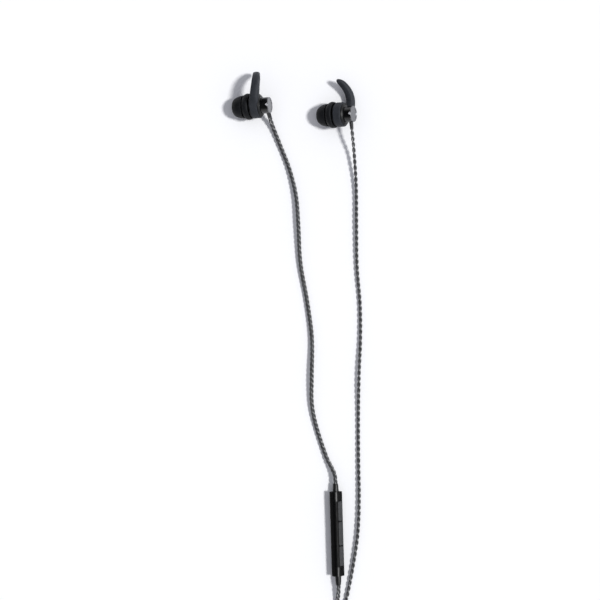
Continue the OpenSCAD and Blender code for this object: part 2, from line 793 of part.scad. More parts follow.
// A button: crowned cap, flange that holds it in, and plunger over its dome switch
module button(offset, l) {
    flange_y = remote_half_t - remote_wall - fit - button_flange_t;
    crown = 0.2;
    on_remote() translate([0, 0, button_shift + offset]) {
        translate([0, (flange_y + remote_half_t + button_proud - crown) / 2, 0])
            button_outline(button_w, l, remote_half_t + button_proud - crown - flange_y,
                button_edge_r);
        translate([0, remote_half_t + button_proud - crown / 2, 0])
            button_outline(button_w - 2 * crown, l - 2 * crown, crown, button_edge_r - crown);
        translate([0, flange_y + button_flange_t / 2, 0])
            button_outline(button_w + button_flange, l + button_flange, button_flange_t,
                button_edge_r);
        translate([0, flange_y, 0])
            rotate([90, 0, 0])
            cylinder(r = plunger_r, h = flange_y - plunger_y());
    }
}

function plunger_y() = remote_board_y + remote_board_t + dome_h + button_travel + fit;

module remote_board() {
    on_remote() translate([-remote_board_w / 2, remote_board_y, -remote_board_len / 2])
        cube([remote_board_w, remote_board_t, remote_board_len]);
}

module dome_switches() {
    on_remote() for (z = [side_button_offset, 0, -side_button_offset])
        translate([0, remote_board_y + remote_board_t, button_shift + z])
            rotate([-90, 0, 0])
            cylinder(r1 = dome_r_out, r2 = plunger_r, h = dome_h, $fn = 32);
}

module microphone() {
    on_remote() translate([
        -mic_size[0] / 2, remote_board_y + remote_board_t,
        button_shift - mic_offset - mic_size[1] / 2
    ])
        cube([mic_size[0], mic_size[2], mic_size[1]]);
}

// A tapered relief with a waist that the remote's shells grip
module remote_relief(l) {
    translate([0, 0, -relief_plug_len])
        cylinder(r = remote_relief_r, h = relief_plug_len - remote_wall - fit);
    translate([0, 0, -relief_plug_len])
        cylinder(r = remote_relief_r - relief_waist, h = relief_plug_len + fit);
    translate([0, 0, fit])
        cylinder(r1 = remote_relief_r, r2 = remote_relief_end_r, h = l - fit, $fn = 32);
}

module remote_upper_relief() {
    on_remote() translate([0, 0, remote_half_len]) remote_relief(upper_relief_len);
}

module remote_lower_relief() {
    on_remote() translate([0, 0, -remote_half_len])
        rotate([180, 0, 0]) remote_relief(lower_relief_len);
}

// Half of the splitter's hollow body, with its length along -Y; up is 1 or -1
module splitter_half(up) {
    edge_r = splitter_t / 2 - 0.1;
    inner_r = edge_r - splitter_wall;
    translate([splitter_x, splitter_y - splitter_len / 2, splitter_z])
        rotate([90, 0, 0])
        difference() {
            round_bar(splitter_w, splitter_t, splitter_len, edge_r);
            round_bar(splitter_w - 2 * splitter_wall, splitter_t - 2 * splitter_wall,
                splitter_len - 2 * splitter_wall, inner_r);
            translate([-splitter_w, up > 0 ? -splitter_t : 0, -splitter_len])
                cube([2 * splitter_w, splitter_t, 2 * splitter_len]);
            translate([0, 0, splitter_len / 2 - splitter_wall - past])
                cylinder(r = splitter_relief_end_r + fit, h = splitter_wall + 2 * past);
        }
}

module splitter_relief() {
    translate([splitter_x, splitter_end_y + splitter_wall + past, splitter_z])
        rotate([90, 0, 0]) {
            cylinder(r = splitter_relief_end_r, h = splitter_wall + past + fit);
            cylinder(r = splitter_relief_hold_r, h = past - fit);
            translate([0, 0, splitter_wall + past + fit])
                cylinder(r1 = splitter_relief_r, r2 = splitter_relief_end_r,
                    h = splitter_relief_len - fit, $fn = 32);
        }
}

// Puts a piece of the plug, drawn along Z from the cord's end, in its place
module on_plug(along) {
    translate([plug_relief_x - along, plug_y, plug_z]) rotate([0, -90, 0]) children();
}
contacts_start = plug_relief_len + grip_len + plug_face_len;
rings_start = sleeve_len + band_len;
point_start = rings_start + 2 * (ring_len + band_len);

module plug_relief() {
    step = plug_relief_len / plug_relief_steps;
    drop = (plug_relief_r - plug_relief_end_r) / plug_relief_steps;
    on_plug(0) {
        for (i = [0:plug_relief_steps - 1])
            translate([0, 0, i * step])
                cylinder(r1 = plug_relief_end_r + i * drop,
                    r2 = plug_relief_end_r + (i + 1) * drop, h = step, $fn = 32);
        translate([0, 0, plug_relief_len])
            cylinder(r = plug_relief_end_r, h = past);
    }
}

module plug_grip() {
    on_plug(plug_relief_len) difference() {
        rotate_extrude() polygon([
            [plug_relief_end_r + fit, 0], [grip_r - 2 * chamfer, 0],
            [grip_r, 2 * chamfer], [grip_r, grip_len - 2 * chamfer],
            [grip_r - 2 * chamfer, grip_len], [plug_face_r, grip_len],
            [plug_face_r, grip_len + plug_face_len], [plug_core_r + fit, grip_len + plug_face_len],
            [plug_core_r + fit, grip_len / 2], [plug_relief_end_r + fit, past + fit]
        ]);
        for (i = [0:grip_groove_count - 1])
            translate([0, 0, grip_len / 2 + (i - grip_groove_count / 2 + 0.5) * grip_groove_step])
                difference() {
                    cylinder(r = grip_r + past, h = grip_groove_w, center = true);
                    cylinder(r = grip_r - grip_groove_depth, h = 2 * grip_groove_w, center = true);
                }
    }
}

// A ring of the plug's pin, from one station to another
module pin_ring(from, to) {
    translate([0, 0, from]) difference() {
        cylinder(r = plug_r, h = to - from);
        translate([0, 0, -past]) cylinder(r = plug_core_r + fit, h = to - from + 2 * past);
    }
}

module plug_sleeve() {
    on_plug(contacts_start) pin_ring(0, sleeve_len);
}

module plug_rings() {
    on_plug(contacts_start) for (i = [0, 1])
        let (start = rings_start + i * (ring_len + band_len))
        pin_ring(start, start + ring_len);
}

module plug_bands() {
    on_plug(contacts_start) for (i = [0:2])
        let (start = sleeve_len + i * (ring_len + band_len))
        pin_ring(start, start + band_len);
}

// The tip contact, with the rod that runs back through the pin
module plug_point() {
    neck_r = 1.2;
    on_plug(contacts_start) {
        translate([0, 0, -plug_face_len]) cylinder(r = plug_core_r, h = point_start + plug_face_len);
        translate([0, 0, point_start]) rotate_extrude() polygon([
            [0, 0], [plug_r, 0], [plug_r, 0.3], [neck_r, 0.3 * point_len],
            [neck_r, 0.4 * point_len], [plug_r - 0.1, 0.62 * point_len],
            [0.9, 0.9 * point_len], [0.4, point_len], [0, point_len]
        ]);
    }
}

// One unbroken tube along a line of points
module tube(line, d, sides) {
    points = [for (i = [0:len(line) - 1])
        each ring_across(line[i], line_way(line, i), d / 2, sides)];
    polyhedron(points, tube_faces(len(line), sides, 1));
}

// The tie: a flat loop round the turns, on the coil's -X side
module cord_tie() {
    middle_z = coil_base_z + coil_pitch / 2;
    translate([coil_x - coil_r, coil_y, middle_z])
        rotate([90, 0, 0])
        difference() {
            round_bar(tie_inner_w + 2 * tie_t, tie_inner_h + 2 * tie_t, tie_w,
                tie_corner_r + tie_t);
            round_bar(tie_inner_w, tie_inner_h, tie_w + 2 * past, tie_corner_r);
        }
}

silicone = "#2c2c2f";
gloss_black = "#101012";
metal = "#c9cacc";
jacket = "#3c3d40";

color(silicone) ear_tip(left_ear);  // left_ear_tip
color(silicone) ear_fin(left_ear);  // left_ear_fin
color(gloss_black) front_shell(left_ear);  // left_front_shell
color(metal) nozzle_mesh(left_ear);  // left_nozzle_mesh
color("dimgray") driver_frame(left_ear);  // left_driver_frame
color(metal) driver_yoke(left_ear);  // left_driver_yoke
color("gray") driver_magnet(left_ear);  // left_driver_magnet
color("peru") voice_coil(left_ear);  // left_voice_coil
color("whitesmoke") diaphragm(left_ear);  // left_diaphragm
color("darkgreen") driver_board(left_ear);  // left_driver_board
color(gloss_black) barrel(left_ear);  // left_barrel
color(metal) end_cap(left_ear);  // left_end_cap
color(silicone) strain_relief(left_ear);  // left_strain_relief

color(silicone) ear_tip(right_ear);  // right_ear_tip
color(silicone) ear_fin(right_ear);  // right_ear_fin
color(gloss_black) front_shell(right_ear);  // right_front_shell
color(metal) nozzle_mesh(right_ear);  // right_nozzle_mesh
color("dimgray") driver_frame(right_ear);  // right_driver_frame
color(metal) driver_yoke(right_ear);  // right_driver_yoke
color("gray") driver_magnet(right_ear);  // right_driver_magnet
color("peru") voice_coil(right_ear);  // right_voice_coil
color("whitesmoke") diaphragm(right_ear);  // right_diaphragm
color("darkgreen") driver_board(right_ear);  // right_driver_board
color(gloss_black) barrel(right_ear);  // right_barrel
color(metal) end_cap(right_ear);  // right_end_cap
color(silicone) strain_relief(right_ear);  // right_strain_relief

color(gloss_black) remote_front_shell();
color(gloss_black) remote_back_shell();
color(silicone) button(side_button_offset, button_len);  // volume_up_button
color(silicone) button(0, play_len);  // play_button
color(silicone) button(-side_button_offset, button_len);  // volume_down_button
color("darkgreen") remote_board();
color(metal) dome_switches();
color(metal) microphone();
color(silicone) remote_upper_relief();
color(silicone) remote_lower_relief();

color(gloss_black) splitter_half(1);  // splitter_upper_shell
color(gloss_black) splitter_half(-1);  // splitter_lower_shell
color(silicone) splitter_relief();
color(gloss_black) plug_grip();
color(silicone) plug_relief();
color("gold") plug_sleeve();
color("gold") plug_rings();
color(gloss_black) plug_bands();
color("gold") plug_point();

color(jacket) tube(left_upper_line, left_cord_d, cord_sides);  // left_upper_cord
color(jacket) tube(left_lower_line, left_cord_d, cord_sides);  // left_lower_cord
color(jacket) tube(right_line, right_cord_d, cord_sides);  // right_cord
color(jacket) tube(main_line, main_cord_d, cord_sides);  // main_cord
color(jacket) tube(coil_line, main_cord_d, coil_sides);  // main_cord_coil
color(jacket) tube(plug_cord_line, main_cord_d, cord_sides);  // plug_cord
color("black") cord_tie();
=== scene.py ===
# %% [markdown]
# # Wired in-ear earphones
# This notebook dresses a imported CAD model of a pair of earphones: two earpieces with
# silicone tips and ear fins, cords twisted from several strands, a small button remote, a
# splitter, a plug and the coil of spare cord. The CAD model is a fixed frame: it says where
# every piece is and which body it moves with. What Blender adds is the finish.

# %% Load the fixed frame
import json
from math import copysign, cos, pi, radians, sin, sqrt

import bmesh
import bpy
import numpy as np
from mathutils import Matrix, Vector
from mathutils.bvhtree import BVHTree


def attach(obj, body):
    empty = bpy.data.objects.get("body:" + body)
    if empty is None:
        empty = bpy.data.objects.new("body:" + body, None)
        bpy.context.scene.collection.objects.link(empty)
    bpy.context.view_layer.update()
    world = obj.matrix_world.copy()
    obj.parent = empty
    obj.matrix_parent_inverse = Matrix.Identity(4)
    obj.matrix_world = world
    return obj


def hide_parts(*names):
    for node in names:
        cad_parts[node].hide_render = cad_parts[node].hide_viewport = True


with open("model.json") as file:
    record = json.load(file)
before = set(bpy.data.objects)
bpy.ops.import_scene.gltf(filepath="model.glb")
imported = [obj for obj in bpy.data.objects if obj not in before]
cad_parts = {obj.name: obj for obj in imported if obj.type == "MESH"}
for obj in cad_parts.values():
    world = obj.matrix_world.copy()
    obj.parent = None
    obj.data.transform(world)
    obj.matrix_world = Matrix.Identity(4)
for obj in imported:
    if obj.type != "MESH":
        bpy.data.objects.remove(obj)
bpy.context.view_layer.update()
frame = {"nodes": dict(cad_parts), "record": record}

MM = 0.001

# %% [markdown]
# ## The camera
# A product picture from straight above keeps the cords' curves undistorted. A long lens
# held far away makes the perspective weak, so an earpiece that stands 18 mm high is hardly
# larger than one that lies flat. The camera comes first.

# %% Camera
LENS_MM, SENSOR_MM, CLIP_M = 100, 36, (0.05, 20)
CAMERA_AT = Vector((3.5, -104.8, 883)) * MM

camera_data = bpy.data.cameras.new("camera")
camera_data.lens = LENS_MM
camera_data.sensor_width = SENSOR_MM
camera_data.clip_start, camera_data.clip_end = CLIP_M
camera = bpy.data.objects.new("camera", camera_data)
camera.location = CAMERA_AT
bpy.context.scene.collection.objects.link(camera)
bpy.context.scene.camera = camera
print("camera", round(CAMERA_AT.z, 3), "m above the surface")

# %% [markdown]
# ## Where the pieces are
# An earpiece is turned about one axis, from the outside of its end cap to the ear tip. It is
# drawn with that axis along Z and then laid down: it dips so that its tip rests on the
# surface, and swings a little. The same turn is written here once, as a matrix, so every
# turned piece can be made in its own simple frame. "drop" is how far the cord's exit is turned
# round the axis. Each fin is turned a little on its groove too, and the left one gives a
# little, as soft silicone does: "bend" moves the last two points of its curve.

# %% Place of each earpiece and of the remote
EARS = {
    "left": {"cap": (-12.2, -2.7, 10.4789), "dip": 17.5, "swing": 2.5, "drop": 40, "side": 1,
             "fin_turn": 1, "bend": ((1.3, 1.2, -0.4), (-1.1, -0.7, -1.5)),
             "relief_r": (1.15, 1.05)},
    "right": {"cap": (31.6, -7.6, 12.5104), "dip": 25.5, "swing": 0, "drop": 15, "side": -1,
              "fin_turn": 9, "bend": ((0, 0, 0), (0, 0, 0)),
              "relief_r": (1.05, 0.92)},
}


def ear_matrix(ear):
    """From an earpiece's own frame, in mm, to the row frame, in metres."""
    swing = Matrix.Rotation(radians(ear["swing"]), 4, "Z")
    dip = Matrix.Rotation(radians(-ear["dip"]), 4, "Y")
    lie = Matrix.Rotation(-pi / 2, 4, "Z") @ Matrix.Rotation(pi / 2, 4, "X")
    return Matrix.Scale(MM, 4) @ Matrix.Translation(ear["cap"]) @ swing @ dip @ lie


EAR_TURN = {side: ear_matrix(ear) for side, ear in EARS.items()}
for side, turn in EAR_TURN.items():
    print(side, "cap centre", [round(v, 4) for v in turn.translation])

# %% [markdown]
# ## Routes of the cords
# A cord is a fixed length of something flexible that lies under its own weight. Each route
# leaves its exit straight, comes down to the surface and then follows a few points in loose
# curves. The points are those of the CAD source.

# %% Route points, in millimetres
LEFT_EXIT, LEFT_WAY = (-12.3954, -8.4977, 5.2490), (0.22652, -0.756884, -0.613037)
RIGHT_EXIT, RIGHT_WAY = (30.6361, -14.8927, 9.8857), (0.111424, -0.965926, -0.233606)
REMOTE_AT, REMOTE_AXIS, REMOTE_LEN = (23, -228.1, 3.3845), (-0.0296662, 0.99956, 0), 44.4
UPPER_RELIEF, LOWER_RELIEF = 4.3, 5
SPLITTER_AT, SPLITTER_END_Y, ARM_SPACING = (22.5, -286, 2.5), -305, 2.8
PLUG_START = (-14, -353.5, 2.9)
LEFT_D, RIGHT_D, RIGHT_LAID_D, MAIN_D = 2.3, 2.1, 1.9, 2.4

LEFT_UPPER_POINTS = [
    (-7.4, -22, 1.5), (-2, -36, 1.6), (1.4, -50, 2.3), (2.6, -65, 2.5), (3.7, -85, 1.7),
    (7.2, -105, 1.3), (9.8, -125, 1.7), (9.7, -145, 2.6), (9.8, -160, 1.9),
    (12.2, -172, 1.3), (17.5, -188, 1.6),
]
LEFT_LOWER_POINTS = [(23.3, -264, 1.6), (22.2, -275, 1.3)]
RIGHT_POINTS = [
    (32, -27, 5.2), (33.2, -45, 2.2), (33.4, -66, 1.9), (33.7, -87, 1.4),
    (35.3, -107, 1.2), (35.5, -125, 1.5), (34.7, -145, 2.2), (34.4, -167, 1.2),
    (34.5, -190, 1.3), (34.8, -210, 1.7), (34.1, -228, 1.9), (32, -243, 1.7),
    (29.2, -258, 1.4), (26, -272, 1.3),
]
MAIN_POINTS = [(22.6, -314, 1.6)]
PLUG_CORD_POINTS = [(-6, -351.6, 4)]
print("points:", len(LEFT_UPPER_POINTS), "left,", len(RIGHT_POINTS), "right")

# %% [markdown]
# Between two points the line is a Hermite curve: it passes through both and keeps one
# direction in each, so there is no kink. All lines are in millimetres until they become
# meshes.

# %% Lines of the two arms


def vec(*v):
    return np.array(v, float)


def unit(v):
    return v / np.linalg.norm(v)


def smooth_line(points, first, last, step):
    """Points along the Hermite curve through points, about step apart."""
    p = [vec(*q) for q in points]
    ways = [unit(first) if i < 2 else unit(last) if i > len(p) - 3
            else unit(p[i + 1] - p[i - 1]) for i in range(len(p))]
    line = []
    for i in range(len(p) - 1):
        chord = np.linalg.norm(p[i + 1] - p[i])
        count = max(2, round(chord / step))
        for k in range(count):
            t = k / count
            line.append((2 * t**3 - 3 * t**2 + 1) * p[i] + (t**3 - 2 * t**2 + t) * chord * ways[i]
                        + (3 * t**2 - 2 * t**3) * p[i + 1] + (t**3 - t**2) * chord * ways[i + 1])
    return np.array(line + [p[-1]])


def route(start, first, points, end, last, d):
    """The whole line of a free stretch, straight for one diameter at either end."""
    a, b, first, last = vec(*start), vec(*end), vec(*first), vec(*last)
    return smooth_line([a, a + first * d, *points, b - last * d, b], first, last, 2)


def run_length(line):
    return float(np.linalg.norm(np.diff(line, axis=0), axis=1).sum())


axis = vec(*REMOTE_AXIS)
remote_top = vec(*REMOTE_AT) + axis * (REMOTE_LEN / 2 + UPPER_RELIEF)
remote_bottom = vec(*REMOTE_AT) - axis * (REMOTE_LEN / 2 + LOWER_RELIEF)
half_arms = vec(ARM_SPACING / 2, 0, 0)
DOWN_PAGE = (0, -1, 0)

left_upper_line = route(LEFT_EXIT, LEFT_WAY, LEFT_UPPER_POINTS, remote_top, -axis, LEFT_D)
left_lower_line = route(remote_bottom, -axis, LEFT_LOWER_POINTS,
                        vec(*SPLITTER_AT) - half_arms, DOWN_PAGE, LEFT_D)
right_line = route(RIGHT_EXIT, RIGHT_WAY, RIGHT_POINTS,
                   vec(*SPLITTER_AT) + half_arms, DOWN_PAGE, RIGHT_D)
for name, line in (("left upper", left_upper_line), ("left lower", left_lower_line),
                   ("right", right_line)):
    print(name, "cord", round(run_length(line)), "mm")

# %% [markdown]
# ## The put-away main cord
# Most of the main cord is spare, so it is wound up, as it would be in its box. The coil
# spirals in on the surface, climbs by one cord at its smallest turn and spirals out again on
# top. The same formula made the CAD solid, so this line has its place and its length.

# %% Line of the main cord, from the splitter to the plug
COIL_TURNS, COIL_R, COIL_PITCH = 9.25, 14.4, 2.85
COIL_AT, COIL_BASE_Z, CLIMB_TURNS = (1.4, -328), MAIN_D / 2 + 0.6, 0.5
HALF_TURNS = COIL_TURNS / 2
COIL_OUTER_R = COIL_R + HALF_TURNS * COIL_PITCH / 2


def ease(u):
    u = min(max(u, 0), 1)
    return u * u * (3 - 2 * u)


def coil_at(n):
    r = COIL_OUTER_R - COIL_PITCH * (HALF_TURNS - abs(n - HALF_TURNS))
    z = COIL_BASE_Z + COIL_PITCH * ease((n - HALF_TURNS) / CLIMB_TURNS + 0.5)
    a = radians(-360 * n)
    return vec(COIL_AT[0] + r * cos(a), COIL_AT[1] + r * sin(a), z)


COIL_STEPS = 48
coil_line = [coil_at(i / COIL_STEPS) for i in range(round(COIL_TURNS * COIL_STEPS) + 1)]
coil_in_way, coil_out_way = vec(0, -1, 0), vec(-1, 0, 0)
coil_start = coil_line[0] - MAIN_D * coil_in_way
coil_end = coil_line[-1] + MAIN_D * coil_out_way
main_line = np.concatenate([
    route((SPLITTER_AT[0], SPLITTER_END_Y, SPLITTER_AT[2]), DOWN_PAGE, MAIN_POINTS,
          coil_start, coil_in_way, MAIN_D),
    coil_line,
    route(coil_end, coil_out_way, PLUG_CORD_POINTS, PLUG_START, (-1, 0, 0), MAIN_D),
])
print("main cord", round(run_length(main_line)), "mm, coil", round(2 * COIL_OUTER_R), "mm across")

# %% [markdown]
# ## Short ways to write nodes
# A node tree is long to write by hand. These helpers make a node, its settings and its links
# in one call, for Geometry Nodes and for shaders alike.

# %% Helpers for node trees


def link_new(tree, kind, inputs=(), **settings):
    """A new node with its settings, and its inputs linked or given a value."""
    node = tree.nodes.new(kind)
    for key, value in settings.items():
        setattr(node, key, value)
    for key, value in dict(inputs).items():
        if isinstance(value, bpy.types.NodeSocket):
            tree.links.new(value, node.inputs[key])
        else:
            node.inputs[key].default_value = value
    return node


def math_node(tree, operation, a, b=0.0, kind="ShaderNodeMath"):
    return link_new(tree, kind, {0: a, 1: b}, operation=operation).outputs[0]


def new_tree(name, inputs):
    """A Geometry Nodes tree with a geometry input and the named ones."""
    tree = bpy.data.node_groups.new(name, "GeometryNodeTree")
    ui = tree.interface
    ui.new_socket("Geometry", in_out="INPUT", socket_type="NodeSocketGeometry")
    for label, kind in inputs:
        ui.new_socket(label, in_out="INPUT", socket_type="NodeSocket" + kind)
    ui.new_socket("Geometry", in_out="OUTPUT", socket_type="NodeSocketGeometry")
    return tree, tree.nodes.new("NodeGroupInput").outputs


def end_tree(tree, geometry, material):
    """Realize Instances and Set Material, so that all of it is real geometry with its finish."""
    real = link_new(tree, "GeometryNodeRealizeInstances", {0: geometry}).outputs[0]
    done = link_new(tree, "GeometryNodeSetMaterial", {0: real, "Material": material}).outputs[0]
    link_new(tree, "NodeGroupOutput", {0: done})


print(len(bpy.data.node_groups), "trees so far")

# %% [markdown]
# ## Twisted strands
# The real cord is two or more thin jacketed leads, laid round each other like rope. Each
# strand is a helix on the cord's line. Geometry Nodes suit this well: the line is resampled,
# copied once for each strand, pushed sideways by a vector that turns with the length along
# the cord, and given a round section. The turn is left-handed, so the strands that show run
# like the middle stroke of an S.

# %% Geometry Nodes tree that twists strands round a line


def twisted_cord_tree():
    tree, given = new_tree("twisted_cord", (
        ("Strands", "Int"), ("Strand radius", "Float"), ("Lay radius", "Float"),
        ("Pitch", "Float"), ("Step", "Float"), ("Sides", "Int"), ("Jacket", "Material")))
    curve = link_new(tree, "GeometryNodeMeshToCurve", {0: given["Geometry"]}).outputs[0]
    curve = link_new(tree, "GeometryNodeResampleCurve",
                     {0: curve, "Length": given["Step"]}, mode="LENGTH").outputs[0]
    curve = link_new(tree, "GeometryNodeSetCurveNormal", {0: curve},
                     mode="MINIMUM_TWIST").outputs[0]
    copies = link_new(tree, "GeometryNodeDuplicateElements",
                      {0: curve, "Amount": given["Strands"]}, domain="SPLINE")
    along = tree.nodes.new("GeometryNodeSplineParameter").outputs["Length"]
    turns = math_node(tree, "DIVIDE", along, given["Pitch"])
    share = math_node(tree, "DIVIDE", copies.outputs["Duplicate Index"], given["Strands"])
    angle = math_node(tree, "MULTIPLY", math_node(tree, "SUBTRACT", share, turns), 2 * pi)
    normal = tree.nodes.new("GeometryNodeInputNormal").outputs[0]
    tangent = tree.nodes.new("GeometryNodeInputTangent").outputs[0]
    side = math_node(tree, "CROSS_PRODUCT", tangent, normal, "ShaderNodeVectorMath")
    parts = []
    for trig, way in (("COSINE", normal), ("SINE", side)):
        length = math_node(tree, "MULTIPLY", math_node(tree, trig, angle), given["Lay radius"])
        scaled = link_new(tree, "ShaderNodeVectorMath", {0: way, "Scale": length},
                          operation="SCALE")
        parts.append(scaled.outputs[0])
    offset = math_node(tree, "ADD", *parts, "ShaderNodeVectorMath")
    moved = link_new(tree, "GeometryNodeSetPosition",
                     {0: copies.outputs["Geometry"], "Offset": offset}).outputs[0]
    named = link_new(tree, "GeometryNodeStoreNamedAttribute",
                     {0: moved, "Name": "along", "Value": along}, data_type="FLOAT").outputs[0]
    ring = link_new(tree, "GeometryNodeCurvePrimitiveCircle",
                    {"Resolution": given["Sides"], "Radius": given["Strand radius"]}).outputs[0]
    tube = link_new(tree, "GeometryNodeCurveToMesh",
                    {0: named, 1: ring, "Fill Caps": True}).outputs[0]
    smooth = link_new(tree, "GeometryNodeSetShadeSmooth",
                      {0: tube, "Shade Smooth": True}).outputs[0]
    end_tree(tree, smooth, given["Jacket"])
    return tree


TWISTED_CORD = twisted_cord_tree()
print("inputs:", [s.name for s in TWISTED_CORD.interface.items_tree if s.in_out == "INPUT"])

# %% [markdown]
# A tree is used through a modifier. Its inputs are set by their sockets' identifiers before
# the object is first evaluated, and the result is copied out as a plain mesh.

# %% Helper: run a tree and keep its result as a plain mesh


def line_mesh(name, line):
    mesh = bpy.data.meshes.new(name)
    mesh.from_pydata([tuple(p * MM) for p in line], [(i, i + 1) for i in range(len(line) - 1)], [])
    return mesh


def add_object(name, mesh):
    piece = bpy.data.objects.new(name, mesh)
    bpy.context.scene.collection.objects.link(piece)
    return piece


def run_tree(name, mesh, tree, **values):
    """The plain mesh piece that tree makes of mesh, with its inputs by name."""
    host = add_object(name, mesh)
    modifier = host.modifiers.new("nodes", "NODES")
    modifier.node_group = tree
    ids = {s.name: s.identifier for s in tree.interface.items_tree if s.in_out == "INPUT"}
    for label, value in values.items():
        modifier[ids[label.replace("_", " ")]] = value
    made = bpy.data.meshes.new_from_object(
        host.evaluated_get(bpy.context.evaluated_depsgraph_get()))
    host.modifiers.clear()
    host.data = made
    bpy.data.meshes.remove(mesh)
    made.name = name
    return host


def material_of(name):
    """The named material, made empty the first time that it is asked for."""
    return bpy.data.materials.get(name) or bpy.data.materials.new(name)


print("cords start with", material_of("cord_jacket").name)

# %% [markdown]
# ## The cords themselves
# Strands that touch fill a circle: two strands of radius r fill one of 2 r, three one of
# 2.15 r, four one of 2.41 r. So the cord's overall diameter gives the strand, and the
# distance that each strand lies from the middle.

# %% Make the four free cords
TOUCHING = {2: 1.0, 3: 2 / sqrt(3), 4: sqrt(2)}
STRAND_STEP, INTO_RELIEF, SIDES, COIL_SIDES = 0.5, 0.4, 12, 8
LEFT_PITCH, RIGHT_PITCH, MAIN_PITCH = 7.9, 6.2, 9


def twisted_cord(name, line, d, strands, pitch, sides):
    """A cord of strands of overall diameter d, whose ends reach a little into what holds it."""
    strand_r = d / 2 / (1 + TOUCHING[strands])
    longer = np.concatenate([[line[0] - INTO_RELIEF * unit(line[1] - line[0])], line[1:-1],
                             [line[-1] + INTO_RELIEF * unit(line[-1] - line[-2])]])
    piece = run_tree(
        name, line_mesh(name, longer), TWISTED_CORD, Strands=strands,
        Strand_radius=strand_r * MM, Lay_radius=strand_r * TOUCHING[strands] * MM,
        Pitch=pitch * MM, Step=STRAND_STEP * MM, Sides=sides, Jacket=material_of("cord_jacket"))
    print(name, len(piece.data.polygons), "faces,", round(run_length(line)), "mm")
    return piece


left_upper = twisted_cord("left_upper_strands", left_upper_line, LEFT_D, 3, LEFT_PITCH, SIDES)
left_lower = twisted_cord("left_lower_strands", left_lower_line, LEFT_D, 3, LEFT_PITCH, SIDES)
right_arm = twisted_cord("right_strands", right_line, RIGHT_LAID_D, 2, RIGHT_PITCH, SIDES)
main_cord = twisted_cord("main_strands", main_line, MAIN_D, 4, MAIN_PITCH, COIL_SIDES)

# %% [markdown]
# ## Shared surface effects
# Real surfaces are never one even colour. Moulded rubber and plastic carry a fine grain from
# the mould and faint clouds from handling, turned metal carries rings, edges are rubbed
# paler and lint sticks to silicone. Each effect is a shader group that puts out masks and
# heights only, so a material takes the effects it needs, each with its own size. First come
# the helpers: they work on the piece's own Object coordinates, so a pattern rides with it.

# %% Helpers for shader groups


def new_group(name, inputs, outputs):
    """A shader group with float inputs (name: value) and float outputs."""
    tree = bpy.data.node_groups.new(name, "ShaderNodeTree")
    for label, value in inputs.items():
        socket = tree.interface.new_socket(label, in_out="INPUT", socket_type="NodeSocketFloat")
        socket.default_value = value
    for label in outputs:
        tree.interface.new_socket(label, in_out="OUTPUT", socket_type="NodeSocketFloat")
    return tree, tree.nodes.new("NodeGroupInput").outputs


def put_out(tree, **values):
    link_new(tree, "NodeGroupOutput", {k.replace("_", " "): v for k, v in values.items()})


def place_of(tree):
    return tree.nodes.new("ShaderNodeTexCoord").outputs["Object"]


def noise(tree, place, scale, detail=2.0):
    return link_new(tree, "ShaderNodeTexNoise", {"Vector": place, "Scale": scale,
                                                 "Detail": detail}).outputs["Fac"]


def from_to(tree, value, low, high, to_low=0.0, to_high=1.0, smooth=False):
    kind = "SMOOTHSTEP" if smooth else "LINEAR"
    return link_new(tree, "ShaderNodeMapRange",
                    {"Value": value, "From Min": low, "From Max": high, "To Min": to_low,
                     "To Max": to_high}, interpolation_type=kind).outputs["Result"]


print("patterns use Object coordinates, in metres")

# %% [markdown]
# The four effects. Each mask goes from 0 to 1 between the two values named here.

# %% Shader groups: moulded skin, turning marks, rubbed edges, lint
CLOUD_EDGES, PROUD_EDGES = (0.3, 0.7), (0.515, 0.56)
BROKEN_EDGES, SPECK_EDGES = (0.42, 0.62), (0.16, 0.05)


def moulded_skin():
    """Fine grain of a mould, and the large soft clouds that handling leaves."""
    tree, given = new_group("moulded_skin", {"Grain": 9000.0, "Cloud": 260.0},
                            ("Height", "Cloudiness"))
    place = place_of(tree)
    cells = link_new(tree, "ShaderNodeTexVoronoi", {"Vector": place, "Scale": given["Grain"]},
                     feature="SMOOTH_F1").outputs["Distance"]
    height = math_node(tree, "MULTIPLY", cells, noise(tree, place, given["Grain"], 3.0))
    put_out(tree, Height=height,
            Cloudiness=from_to(tree, noise(tree, place, given["Cloud"], 4.0), *CLOUD_EDGES))
    return tree


def turning_marks():
    """Rings of a lathe tool, by the length along the turned outline (UV's second value)."""
    tree, given = new_group("turning_marks", {"Rings per mm": 9.0}, ("Height",))
    along = link_new(tree, "ShaderNodeSeparateXYZ",
                     {0: tree.nodes.new("ShaderNodeTexCoord").outputs["UV"]}).outputs["Y"]
    rings = link_new(tree, "ShaderNodeTexNoise", {"W": along, "Scale": given["Rings per mm"],
                                                  "Detail": 3.0}, noise_dimensions="1D")
    put_out(tree, Height=rings.outputs["Fac"])
    return tree


def rubbed_edges():
    """Where an edge stands proud and so is rubbed, in a broken line."""
    tree, given = new_group("rubbed_edges", {"Break up": 1500.0}, ("Rub",))
    proud = from_to(tree, tree.nodes.new("ShaderNodeNewGeometry").outputs["Pointiness"],
                    *PROUD_EDGES)
    broken = from_to(tree, noise(tree, place_of(tree), given["Break up"], 3.0), *BROKEN_EDGES)
    put_out(tree, Rub=math_node(tree, "MULTIPLY", proud, broken))
    return tree


